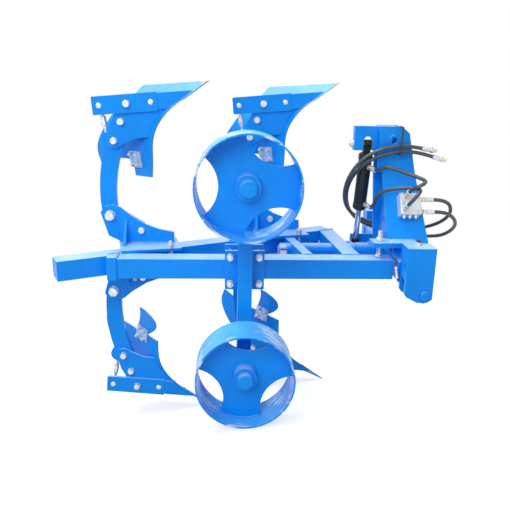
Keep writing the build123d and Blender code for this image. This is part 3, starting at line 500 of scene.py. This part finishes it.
def strand(name, route, radius, material):
    """A cord of the headstock on its route's points, radius in millimetres."""
    curve = bpy.data.curves.new(name, "CURVE")
    curve.dimensions = "3D"
    curve.bevel_depth = radius / 1000
    curve.bevel_resolution = 6
    curve.resolution_u = 10
    curve.use_fill_caps = True
    spline = curve.splines.new("NURBS")
    spline.points.add(len(route) - 1)
    for point, p in zip(spline.points, route):
        point.co = (*at(*p), 1)
    spline.order_u = 3
    spline.use_endpoint_u = True
    curve.materials.append(material)
    made = bpy.data.objects.new(name, curve)
    bpy.context.scene.collection.objects.link(made)
    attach(made, "headstock")
    return made


def hose(name, route):
    """A hose in place of the CAD one."""
    made = strand(name, route, HOSE, hose_cover)
    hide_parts(name)
    return made


def ferrule(lot, start, axis, length):
    """A sleeve crimped over a hose's end, in five rings."""
    crimps, rim = 5, 10.2
    profile = [(0, 7.0), (0, rim - 1.0), (0.8, rim - 0.3)]
    for i in range(crimps):
        a, b = (2 + (length - 5) * k / crimps for k in (i, i + 1))
        profile += [(a, rim - 0.2), (a + 0.5, rim), (b - 1.2, rim), (b - 0.6, rim - 0.2),
                    (b - 0.4, rim - 0.9)]
    profile += [(length - 2, rim), (length - 0.4, rim - 0.3), (length, rim - 1.2), (length, 7.0)]
    return lot.turned(start, axis, profile, 32)


PLUG_NECK = ((0, 5), (0, 6.8), (6, 6.4), (9, 6.4), (9, 5))
PLUG_NIPPLE = ((0, 8.6), (1.5, 8.9), (3, 7.2), (4.5, 7.2), (5.5, 8.2), (11, 8.2), (12.5, 7.4), (15.2, 6.6),
               (16, 5.6), (16, 3.4), (8, 3.2))


def coupling(name, route):
    """The plug on a supply hose's free end: ferrule, neck, union nut and nipple."""
    end = Vector(route[-1])
    way = (end - Vector(route[-2])).normalized()
    sleeve = ferrule(Lot(), end - way * 4, way, 30)
    sleeve = sleeve.piece(f"{name}_ferrule", "headstock", zinc, "zinc")
    union = Lot().turned(end + way * 26, way, PLUG_NECK)
    union.hexed(end + way * 33, way, 20.5, 13, both=True)
    union.turned(end + way * 46, way, PLUG_NIPPLE)
    union = union.piece(f"{name}_union", "headstock", champagne, "zinc")
    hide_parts(name)
    return [sleeve, union]


supply_a, supply_b = hose("supply_hose_a", SUPPLY_A), hose("supply_hose_b", SUPPLY_B)
lift, lower = hose("lift_hose_upper", LIFT_HOSE), hose("lift_hose_lower", LOWER_HOSE)
ends_a, ends_b = coupling("hose_coupling_a", SUPPLY_A), coupling("hose_coupling_b", SUPPLY_B)

# on the valve block: adapters and swivel nuts in yellow zinc, ferrules in white zinc
SUPPLY_ADAPTER, LIFT_ADAPTER = 58, 36   # from the block's face to where the hose's route starts
COLLAR = ((-3, 11), (0, 12.5), (2, 12.5), (2.4, 11))
adapters, ferrules, lift_ends, lower_ends = Lot(), Lot(), Lot(), Lot()
for route in (SUPPLY_A, SUPPLY_B):
    foot = Vector(route[0]) - X * SUPPLY_ADAPTER
    adapters.turned(foot, X, COLLAR)
    adapters.hexed(foot + X * 2, X, 21, 8, both=True)
    adapters.turned(foot + X * 10, X, ((0, 6.5), (6, 6.5)))
    adapters.hexed(foot + X * 13, X, 20, 13, 0.3, both=True)
    adapters.turned(foot + X * 26, X, ((0, 7.6), (3, 7.0), (8, 7.0)))
    ferrule(ferrules, foot + X * 31, X, 31)
for route, lot, length in ((LIFT_HOSE, lift_ends, 28), (LOWER_HOSE, lower_ends, 26)):
    foot = Vector(route[0]) - OUT * LIFT_ADAPTER
    adapters.turned(foot, OUT, COLLAR)
    adapters.hexed(foot + OUT * 2, OUT, 21, 8, 0.5, both=True)
    adapters.hexed(foot + OUT * 12, OUT, 20, 12, both=True)
    adapters.turned(foot + OUT * 9, OUT, ((0, 6.5), (4, 6.5)))
    adapters.turned(foot + OUT * 24, OUT, ((0, 7.4), (3, 7.0), (6, 7.0)))
    ferrule(lot, foot + OUT * 27, OUT, length)
    back = (Vector(route[-2]) - Vector(route[-1])).normalized()
    ferrule(lot, Vector(route[-1]) + back, back, 24)
adapters = adapters.piece("valve_adapters", "headstock", champagne, "zinc")
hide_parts("valve_fittings")
ferrules.piece("supply_ferrules", "headstock", zinc, "zinc")
lift_ends = lift_ends.piece("lift_hose_ferrules", "headstock", zinc, "zinc")
lower_ends = lower_ends.piece("lower_hose_ferrules", "headstock", zinc, "zinc")

# ---------------------------------------------------------------- bodies
BODY_X, BODY_Y, BODY_Z = -472, -75, -623    # the middle bolt of the lower rear landside, at its face
PITCH = math.radians(4.9)               # a body's nose-down set in the frame
# a board's level lines: height, where its front edge is along the body, and the angle away from the body
BOARD = ((-66, 338, 40.2), (0, 226, 41), (55, 147, 42), (115, 103, 43.5), (175, 86, 46), (230, 81, 48),
         (311, 67, 49), (350, 60, 50))
BOARD_FACE, BOARD_BACK = -0.4, 13.4     # where heads and nuts stand, measured back from the face
# height of each bolt, and its place to the left
SPLICE_BOLTS = ((208, 66), (208, 98), (250, 60), (250, 90))
BOARD_BOLTS = ((-34, 60), (-34, 150), (30, 45), (30, 140), (95, 45), (95, 150), (160, 60))
# place along the body of each bolt, and its height
LEG_BOLTS = ((-33.0, 68.4), (-70.0, 141.3))
HEEL, MIDDLE, TOE = -108.7, 0.0, 96.7   # the landside's bolts, along it
SCREW_ENDS = ((HEEL, 36.5, 0), (-98, 36.5, 140))    # of the turnbuckle, from its heel pin up
# x, height and width of the bolts through a bracket, and x and y of those through its two base plates
BRACKET_BOLTS = ((-558, 168, 36), (-430, 104, 24))
PLATE_BOLTS = ((-391, -26), (-462, -46), (-302, -150))
PLATE_FACE = 52                         # outer face of a base plate, above or below the turnover axis
BRACKET_NEAR, BRACKET_GRIP = -63, 37    # y under those bolts' heads, and from there to under their nuts


def body_point(where, side, u, v, w):
    """A point of a body: u forward and w up from its landside's middle bolt, v left of the landside's face.

    where is REAR or FRONT, and side LOWER or UPPER. An upper body is a lower one's mirror image.
    """
    x = BODY_X + u * math.cos(PITCH) + w * math.sin(PITCH)
    z = BODY_Z - u * math.sin(PITCH) + w * math.cos(PITCH)
    return Vector((x, BODY_Y + v, -side * z)) + TO_FRONT * where


def board_point(where, side, w, across_by, back):
    """A point across_by to the left on a board's face, and back behind it, with the way out of its back."""
    low, high = [r for r in zip(BOARD, BOARD[1:]) if r[0][0] <= w <= r[1][0]][0]
    t = (w - low[0]) / (high[0] - low[0])
    edge, angle = (low[i] + (high[i] - low[i]) * t for i in (1, 2))
    a = math.radians(angle)
    u = edge - math.cos(a) * across_by / math.sin(a) - math.sin(a) * back
    v = across_by - math.cos(a) * back
    here = body_point(where, side, u, v, w)
    out = body_point(where, side, u - math.sin(a), v - math.cos(a), w) - here
    return here, out.normalized()


body_bolts, heels, splice_nuts, board_heads = Lot(), Lot(), Lot(), Lot()
turnbuckles, body_welds = Lot(), Lot()


def dress_body(where, side):
    """The fasteners, turnbuckle and welds of one body."""
    def here(u, v, w):
        return body_point(where, side, u, v, w)

    def on_frame(x, y, z):
        return Vector((x, y, z)) + TO_FRONT * where

    # landside
    heels.cup(here(HEEL, 0, 0), NEAR, 11.5, 4.0)
    body_bolts.bolt(here(MIDDLE, 0, 0), NEAR, 24)
    body_bolts.nut(here(MIDDLE, 24, 0), FAR, 22)
    heels.cup(here(TOE, 0, 0), NEAR, 11.5, 4.0)
    body_bolts.nut(here(TOE, 24, 0), FAR, 22)
    # leg to frog, and leg to bracket
    for u, w in LEG_BOLTS:
        body_bolts.bolt(here(u, 12, w), NEAR, 24)
        body_bolts.nut(here(u, 49, w), FAR, 24)
    for x, z, flats in BRACKET_BOLTS:
        spot = on_frame(x, BRACKET_NEAR, side * z)
        body_bolts.bolt(spot, NEAR, flats)
        body_bolts.nut(spot + FAR * BRACKET_GRIP, FAR, flats)
    # board
    for w, v in SPLICE_BOLTS:
        spot, out = board_point(where, side, w, v, BOARD_BACK)
        splice_nuts.nut(spot, out, 15, 0.35)
        spot, out = board_point(where, side, w, v, BOARD_FACE)
        board_heads.cup(spot, -out, 8.5, 1.4)
    for w, v in BOARD_BOLTS:
        spot, out = board_point(where, side, w, v, BOARD_FACE)
        board_heads.cup(spot, -out, 10.5, 1.3)
    # turnbuckle: heel pin, two screws and the hexagon sleeve between them
    heel, knob = (here(*end) for end in SCREW_ENDS)
    way = (knob - heel).normalized()
    long = (knob - heel).length
    turnbuckles.threaded(heel + way * 6, way, 6.0, long - 8, 2.0)
    middle = heel + way * long * 0.44
    turnbuckles.hexed(middle - way * 20, way, 20, 40, both=True)
    turnbuckles.hexed(middle - way * 29, way, 17, 7, 0.4, both=True)
    turnbuckles.hexed(middle + way * 22, way, 17, 7, 0.9, both=True)
    turnbuckles.turned(here(HEEL, 12, 0), FAR, ((0, 8), (32, 8), (33, 6)))
    turnbuckles.turned(here(HEEL, 25, 0), FAR, ((0, 12), (1, 13), (14, 13), (15, 12)))
    turnbuckles.turned(knob - way * 13, way, ((0, 7), (2, 9.5), (12, 9.5), (14, 7)))
    # welds: bracket to base plate, rib, frog's foot
    top = side * PLATE_FACE
    for y in (-64, -50):
        body_welds.weld([on_frame(-508, y, top), on_frame(-294, y, top)], 4.2)
    body_welds.weld([on_frame(-487, -66, top), on_frame(-487, -128, top)], 3.6)
    body_welds.weld([here(126, 12.5, 30), here(172, 12.5, 30)], 2.6)
    body_welds.weld([here(124, 12.4, 28), here(124, 12.4, -30)], 2.2)


for where in (REAR, FRONT):
    for side in (LOWER, UPPER):
        dress_body(where, side)
body_bolts.piece("body_bolts", "plough_frame", zinc, "zinc")
heels.piece("landside_bolts", "plough_frame", zinc, "zinc")
splice_nuts.piece("splice_bolts", "plough_frame", zinc, "zinc")
board_heads.piece("board_bolt_heads", "plough_frame", zinc, "zinc")
turnbuckles = turnbuckles.piece("pitch_turnbuckles", "plough_frame", zinc, "zinc")
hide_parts("turnbuckles")
body_welds.bead_piece("body_welds", "plough_frame")

# clamp bolts through each pair of base plates, beside the main beam
clamp_bolts = Lot()
for where in (REAR, FRONT):
    for x, y in PLATE_BOLTS:
        above, below = (Vector((x, y, z)) + TO_FRONT * where for z in (PLATE_FACE, -PLATE_FACE))
        clamp_bolts.turned(below, Z, ((0, 8), (2 * PLATE_FACE, 8)))
        clamp_bolts.nut(above, Z, 24, 0.35)
        clamp_bolts.bolt(below, -Z, 24)
    clamp_bolts.nut(Vector((-448, -176, -PLATE_FACE)) + TO_FRONT * where, -Z, 22, 0.5)
clamp_bolts.piece("base_plate_bolts", "plough_frame", zinc, "zinc")

# ---------------------------------------------------------------- frame
TURN = math.radians(25.6)               # the main beam's angle to the line of travel
ALONG, ASIDE = Vector((math.cos(TURN), math.sin(TURN), 0)), Vector((-math.sin(TURN), math.cos(TURN), 0))
BEAM_REAR = Vector((-739, -281, 0))
BEAM_LENGTH = 1275
SIDE_BEAM = -195                        # y of the side beam's far face
TUBE_TOP = 40
# x at the side beam and at the main beam, and width, of the two cross members
CROSS_MEMBERS = ((264, 206, 40), (444, 408, 70))
POST_HALF, POST_Y = 27, -315


def beam_y(x):
    """y of the main beam's middle line at x."""
    return BEAM_REAR.y + math.tan(TURN) * (x - BEAM_REAR.x)


def square(middle, a, b, half):
    """The outline of a square section, for a weld round it."""
    return [middle + a * half * p + b * half * q for p, q in ((1, 1), (-1, 1), (-1, -1), (1, -1))]


frame_welds = Lot()
for end in (1, BEAM_LENGTH - 1):
    frame_welds.weld(square(BEAM_REAR + ALONG * end, ASIDE, Z, 38), 2.6, True)
# the collar that joins the beams
frame_welds.weld([(-504, -196, 41), (-504, -276, 41), (-504, -276, -41), (-504, -196, -41)], 4.2)
near_y = beam_y(-541) - 44.4
frame_welds.weld([(-542, near_y, 46), (-542, near_y, -46)], 5.0)
for z in (47, -47):
    frame_welds.weld([(-541, near_y, z), (-505, near_y + 17, z)], 4.0)
for near_x, far_x, width in CROSS_MEMBERS:
    far_y = beam_y(far_x) - 44.35
    lean = Vector((far_x - near_x, far_y - SIDE_BEAM, 0)) / math.hypot(far_x - near_x, far_y - SIDE_BEAM)
    wide = width / 2 / abs(lean.y)
    skew = math.tan(TURN) * wide
    for z in (TUBE_TOP, -TUBE_TOP):
        frame_welds.weld([(near_x - wide, SIDE_BEAM + 1, z), (near_x + wide, SIDE_BEAM + 1, z)], 4.0)
        frame_welds.weld([(far_x - wide, far_y - skew, z), (far_x + wide, far_y + skew, z)], 4.0)
    for s in (-1, 1):
        edge = near_x + s * wide
        frame_welds.weld([(edge, SIDE_BEAM + 1, TUBE_TOP), (edge, SIDE_BEAM + 1, -TUBE_TOP)], 3.6)
# the ends of the wheel post
for end in (AXLE_Z + POST_HALF, -AXLE_Z - POST_HALF):
    frame_welds.weld(square(Vector((1, POST_Y, end)), X, Y, POST_HALF), 2.4, True)
frame_welds.bead_piece("frame_welds", "plough_frame")

# wheel post's clamp: nuts on the near plate, heads behind the beam, shanks between
CLAMP_NEAR, CLAMP_FAR = -287, -183
post_bolts = Lot()
for x in (-56.5, 56.5):
    for z in (-54.5, 54.5):
        post_bolts.turned((x, CLAMP_NEAR, z), Y, ((0, 8), (CLAMP_FAR - CLAMP_NEAR, 8)))
        post_bolts.nut((x, CLAMP_NEAR, z), NEAR, 24, 0.45)
        post_bolts.bolt((x, CLAMP_FAR, z), FAR, 24)
post_bolts.piece("post_clamp_bolts", "plough_frame", zinc, "zinc")

# shaft's rear nut, over the CAD one, and two grease nipples, over the sleeve and on the shaft's housing
NIPPLE = ((0, 3), (3, 3), (4, 2), (5.5, 2), (6.5, 3.2), (8.5, 3.0), (9.5, 1.2))
nut = Lot()
nut.hexed((196.4, 0, 0), -X, 61, 33, math.pi / 6, both=True)
nut.threaded((164, 0, 0), -X, 24, 6.5, 2.4, 36)
nut.piece("shaft_nut", "headstock", zinc, "zinc")
nipples = Lot()
for spot, way in (((340, 0, 33.5), (0, 0, 1)), ((577, -30, 30), (0, -0.7, 0.7))):
    way = Vector(way).normalized()
    nipples.hexed(spot, way, 9, 5, both=True)
    nipples.turned(Vector(spot) + way * 5, way, NIPPLE, 16)
nipples.piece("grease_nipples", "headstock", champagne, "zinc")

# ---------------------------------------------------------------- depth wheels
RING_INSIDE = 183
SCALLOP, SCALLOP_AT = 130, 234          # the disc's three cut-outs: their radius, and their middles' distance
DISC_FACES = (-470.5, -459.5)           # y of its near and its far face
FIRST_CUT = {"upper": 60, "lower": 85}  # degrees round to the first cut-out
HUB_WELD = 46.5                         # radius of the bead round the hub
COLLAR_Y, CAP_Y = -506.5, -512          # where a hub cap's collar and the cap itself start
CAP_COLLAR = ((0, 33), (1.5, 34.5), (5, 34.5), (6, 33.5), (6, 30.2))
CAP = ((0, 30.4), (15.5, 30.6), (18.5, 29.6), (20.2, 27), (20.6, 20), (20.2, 12), (21.6, 10), (21.8, 0))
# half the angle over which a cut-out takes the disc away from the ring
half_cut = math.degrees(math.acos((RING_INSIDE ** 2 + SCALLOP_AT ** 2 - SCALLOP ** 2)
                                  / (2 * RING_INSIDE * SCALLOP_AT)))
for name, z in (("upper", AXLE_Z), ("lower", -AXLE_Z)):
    welds = Lot()
    for y in DISC_FACES:
        welds.weld([(HUB_WELD * math.cos(t), y, z + HUB_WELD * math.sin(t))
                    for t in (k * math.pi / 36 for k in range(72))], 4.0, True)
    for k in range(3):
        cut = FIRST_CUT[name] + 120 * k
        a, b = cut + half_cut + 1.5, cut + 120 - half_cut - 1.5
        arc = [math.radians(a + (b - a) * i / 40) for i in range(41)]
        for y in DISC_FACES:
            welds.weld([((RING_INSIDE - 1) * math.cos(t), y, z + (RING_INSIDE - 1) * math.sin(t))
                        for t in arc], 3.4)
    welds.bead_piece(f"wheel_welds_{name}", f"wheel_{name}")
    cap = Lot()
    cap.turned((0, COLLAR_Y, z), NEAR, CAP_COLLAR, 48)
    cap.turned((0, CAP_Y, z), NEAR, CAP, 48)
    cap.piece(f"hub_cap_{name}", "plough_frame", blue, "blue_paint")

# ---------------------------------------------------------------- turnover cylinder
PIVOT = Vector((523, 0, 474))           # the middle of the cylinder's pin
CRANK_PIN = Vector((523, 100, 0))
DOWN = (CRANK_PIN - PIVOT).normalized()
SIDE = Vector((0, DOWN.z, -DOWN.y))     # square to the cylinder, to the near side
PORTS = ((95, 66), (268, 60))           # distance below the pin, and degrees round from ahead
EYE = 484.4                             # from the pin to the rod's eye
BARREL_CAP = ((-3, 22), (-1.5, 27), (0, 29.6), (2, 30), (14, 30), (16, 29.3), (16.5, 28.4))
BARREL_GLAND = ((0, 28.4), (0.6, 29.4), (2, 30), (22, 30), (24.5, 28), (25, 24), (29, 23), (30, 19),
                (30, 13.4))
glands, unions = Lot(), Lot()
glands.turned(PIVOT + DOWN * 46, DOWN, BARREL_CAP, 48)
glands.turned(PIVOT + DOWN * 272, DOWN, BARREL_GLAND, 48)
glands.weld(circle(PIVOT + DOWN * 64, X, SIDE, 28.6, 60), 2.6, True)
for below, degrees in PORTS:
    a = math.radians(degrees)
    base = PIVOT + DOWN * below
    way = X * math.cos(a) + SIDE * math.sin(a)
    glands.turned(base + way * 26, way, ((0, 15), (4, 14.5), (6, 13)))
    unions.hexed(base + way * 32, way, 22, 9, 0.2, both=True)
    unions.turned(base + way * 41, way, ((0, 8), (1.5, 9.8), (8, 9.8), (9.6, 9.2)))
glands.piece("barrel_glands", "cylinder_barrel", black, "black_paint")
unions.piece("barrel_unions", "cylinder_barrel", champagne, "zinc")
clevis = Lot()
clevis.turned(PIVOT + DOWN * 446, DOWN, ((0, 13.1), (0.5, 16.5), (2, 18), (15, 18), (17, 16)), 36)
for s in (-1, 1):
    clevis.turned(PIVOT + DOWN * EYE + X * 15 * s, X * s, ((0, 20.2), (1.8, 20.2), (2.8, 19), (2.8, 9)), 36)
clevis.piece("rod_eye_rings", "cylinder_rod", black, "black_paint")
pin = Lot()
pin.turned((464, 0, PIVOT.z), X, ((0, 9), (97, 9), (99, 8)), 32)
pin.turned((462.6, 0, PIVOT.z), X, ((0, 17), (1.4, 17)), 32)
pin.hexed((462.6, 0, PIVOT.z), -X, 27, 12, both=True)
pin.threaded((451, 0, PIVOT.z), -X, 8.6, 5)
pin = pin.piece("cylinder_pin_and_nut", "headstock", zinc, "zinc")
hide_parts("cylinder_pin")

# ---------------------------------------------------------------- headstock
MAST_X = (616, 694)                     # the mast's and the brackets' foot on the hitch beam
MAST_NEAR, FLARE_FROM = -40, 360        # y of the mast's near side, and the height below which it leans out
FLARE = math.radians(31.8)
HITCH_TOP = 41
BRACKET_INSIDE, BRACKET_PLATES = 300, (312.5, 370.5)
BLOCK_FACE, BLOCK_FOOT = 23, 46         # from the valve block's middle to its near and its lower face
STOP_X, STOP_Y = 550, -225
PIN_X, PIN_Z = 700, -73                 # the two hitch pins
BRACKET_X, BRACKET_Y = 678, -322        # the capped bolt on the near bracket
STOP_FOOT = ((0, 14.5), (1.5, 16), (7, 16), (9, 14), (11, 11.5), (17, 11))
PIN_HEAD = ((0, 18.8), (1.4, 18.4), (2.4, 17), (2.9, 12), (2.9, 4), (2.2, 2.5), (2.2, 0))
PIN_SHOULDER = ((-4, 20), (0, 20), (0.6, 19.4), (0.6, 14), (2.4, 13.6))
SOCKET_HEAD = ((0, 6.4), (5.6, 6.4), (6.2, 5.8), (6.2, 3.2), (3.0, 3.0), (3.0, 0))

stop = Lot()
stop.threaded((STOP_X, STOP_Y, 56), Z, 10, 94, 2.4, 28)
stop.hexed((STOP_X, STOP_Y, 79.5), Z, 30, 8, both=True)
stop.hexed((STOP_X, STOP_Y, 108.3), Z, 30, 14, 0.5, both=True)
stop.turned((STOP_X, STOP_Y, 40.5), Z, STOP_FOOT, 36)
stop = stop.piece("turnover_stop_screw", "headstock", zinc, "zinc")
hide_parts("stop_screw")

pin_ends = Lot()
for s in (-1, 1):
    pin_ends.turned((PIN_X, s * 389.0, PIN_Z), Y * s, PIN_HEAD, 40)
    pin_ends.turned((PIN_X, s * 296.5, PIN_Z), -Y * s, PIN_SHOULDER, 36)
pin_ends.piece("hitch_pin_ends", "headstock", blue, "blue_paint")

capped = Lot()
capped.turned((BRACKET_X, BRACKET_Y, 118), Z, ((0, 14), (2.0, 14), (2.4, 13.5)), 32)
capped.hexed((BRACKET_X, BRACKET_Y, 120.4), Z, 22, 9, 0.2, both=True)
capped.piece("bracket_bolt", "headstock", zinc, "zinc")
cap = Lot().turned((BRACKET_X, BRACKET_Y, 127), Z, ((0, 10.5), (5, 10.5), (8, 9.4), (9.2, 7.0), (9.4, 0)), 28)
cap.piece("bracket_bolt_cap", "headstock", nylon, "nylon")

# the valve block's socket heads on its near face, and plugs on its lower one
studs = Lot()
for along, up in ((30, -34), (-32, 4), (32, 36)):
    studs.turned(BLOCK + X * along + SLOPE * up + OUT * BLOCK_FACE - OUT * 0.5, OUT, SOCKET_HEAD, 28)
for along in (-24, 0, 24):
    spot = BLOCK + X * along - SLOPE * BLOCK_FOOT
    studs.hexed(spot, -SLOPE, 17, 7, 0.3, both=True)
    studs.turned(spot - SLOPE * 6, -SLOPE, ((0, 5.5), (6, 5.5), (7, 4.5)), 20)
studs.piece("valve_block_screws", "headstock", zinc, "zinc")


def flare(z):
    """y of the outer face of the mast's leaning side plate."""
    return MAST_NEAR - math.tan(FLARE) * max(0.0, FLARE_FROM - z)


head_welds = Lot()
for y, leg in ((flare(40) - 1, 4.2), (flare(40) + 13, 4.2), (29, 4.0), (41, 4.0)):
    head_welds.weld([(x, y, HITCH_TOP) for x in MAST_X], leg)
for s in (-1, 1):
    for z in (HITCH_TOP, -HITCH_TOP):
        head_welds.weld([(x, s * BRACKET_INSIDE, z) for x in MAST_X], 4.4)
    for x in (695.5, 614.5):
        head_welds.weld([(x, s * BRACKET_INSIDE, 40), (x, s * BRACKET_INSIDE, -40)], 4.0)
    for y in BRACKET_PLATES:
        head_welds.weld([(633, s * y, 107), (731, s * y, 107)], 3.0)
        head_welds.weld([(633, s * y, 104), (633, s * y, -8)], 3.0)
head_welds.weld([(603, -29, 436), (603, -29, 364)], 3.0)
head_welds.weld([(601, -30, 360), (601, flare(110), 110)], 3.4)
head_welds.weld([(600.5, 43 * math.cos(t), 43 * math.sin(t)) for t in (k * math.pi / 40 for k in range(80))],
                3.2, True)
head_welds.bead_piece("headstock_welds", "headstock")

tie = Lot().slab((648.5, -84.8, 468), X * 4.6, Y * 3.2, Z * 3.4)
tie.piece("hose_tie_head", "headstock", nylon, "nylon")

# lynch pin on its wire, hung from an eye on the stop plate
LANYARD = ((586, -266, 117), (589, -273, 96), (593, -281, 72), (598, -290, 46), (603, -300, 17))
LYNCH_PIN = ((0, 3), (1, 6.0), (3, 7.0), (9, 7.0), (11, 5.2), (13, 5.2), (14, 7.4), (45, 7.4), (47, 5.0))
RING_WIRE = 1.7


def loop(middle, a, b, radius):
    """A ring's line round middle, in the plane of a and b."""
    turn = circle(middle, a, b, radius, 24)
    return turn + turn[:1]


lanyard = strand("lynch_pin_lanyard", LANYARD, 1.2, wire_steel)
low_end = Vector(LANYARD[-1])
drop = (Vector((610, -318, -41)) - low_end).normalized()
_, flat, _ = across(drop)
pin = Lot().turned(low_end - drop * 3, drop, LYNCH_PIN)
pin.wire(loop(low_end + drop * 6, drop, flat, 12.5), RING_WIRE)
pin = pin.piece("lynch_pin", "headstock", zinc, "zinc")
eye = Lot().wire(loop(Vector((586, -262, 113)), Y, Z, 6.5), RING_WIRE)
eye.piece("lanyard_eye", "headstock", zinc, "zinc")

# ---------------------------------------------------------------- floor, light
WHITE = (1, 1, 1, 1)


def plane(name, half, middle):
    """A level square."""
    mesh = bpy.data.meshes.new(name)
    mesh.from_pydata([(x * half, y * half, 0) for x, y in ((-1, -1), (1, -1), (1, 1), (-1, 1))], [],
                     [(0, 1, 2, 3)])
    made = bpy.data.objects.new(name, mesh)
    made.location = middle
    bpy.context.scene.collection.objects.link(made)
    return made


def in_view(tree):
    """Rays that show the background: the camera's, and those that metal and glass send on."""
    rays = node(tree, "ShaderNodeLightPath").outputs
    shown = math_node(tree, "MAXIMUM", rays["Is Camera Ray"], rays["Is Glossy Ray"])
    return math_node(tree, "MAXIMUM", shown, rays["Is Transmission Ray"])


def lamp(name, spot, aim, size, power):
    """A round area lamp at spot, turned to aim."""
    data = bpy.data.lights.new(name, "AREA")
    data.shape = "DISK"
    data.size = size
    data.energy = power
    made = bpy.data.objects.new(name, data)
    made.location = spot
    made.rotation_euler = (aim - spot).to_track_quat("-Z", "Y").to_euler()
    bpy.context.scene.collection.objects.link(made)


# the floor glows only to the rays that show the background, and keeps the object's shadow
floor = plane("floor", 40, (0, 0, cad_box[0][2] - 0.0005))
pale, tree, shade, _ = new_material("pale_floor")
shade.inputs["Base Color"].default_value = (0.40, 0.42, 0.43, 1)
shade.inputs["Roughness"].default_value = 0.85
glow = node(tree, "ShaderNodeEmission", (("Color", WHITE), ("Strength", 0.66)))
both = node(tree, "ShaderNodeAddShader", ((0, shade.outputs[0]), (1, glow.outputs[0])))
pick = node(tree, "ShaderNodeMixShader", ((0, in_view(tree)), (1, shade.outputs[0]), (2, both.outputs[0])))
tree.links.new(pick.outputs[0], [n for n in tree.nodes if n.type == "OUTPUT_MATERIAL"][0].inputs[0])
floor.data.materials.append(pale)

world = bpy.data.worlds.new("studio")
bpy.context.scene.world = world
world.use_nodes = True
sky = world.node_tree
sky.nodes.clear()
direction = node(sky, "ShaderNodeTexCoord").outputs["Generated"]
height = node(sky, "ShaderNodeSeparateXYZ", ((0, direction),)).outputs[2]
strength = band(sky, height, -0.1, 0.9, 0.48, 0.95)
shine = node(sky, "ShaderNodeBackground", (("Color", (0.95, 0.98, 1.0, 1)), ("Strength", strength)))
white = node(sky, "ShaderNodeBackground", (("Color", WHITE), ("Strength", 1.0)))
mixed = node(sky, "ShaderNodeMixShader", ((0, in_view(sky)), (1, shine.outputs[0]), (2, white.outputs[0])))
sky.links.new(mixed.outputs[0], node(sky, "ShaderNodeOutputWorld").inputs[0])

middle = (Vector(cad_box[0]) + Vector(cad_box[1])) / 2
lamp("key", middle + Vector((-0.9, -0.6, 4.2)), middle, 3.0, 160)
lamp("fill", middle + Vector((-1.6, -4.2, 1.8)), middle, 3.0, 100)
bpy.context.scene.view_settings.view_transform = "Standard"
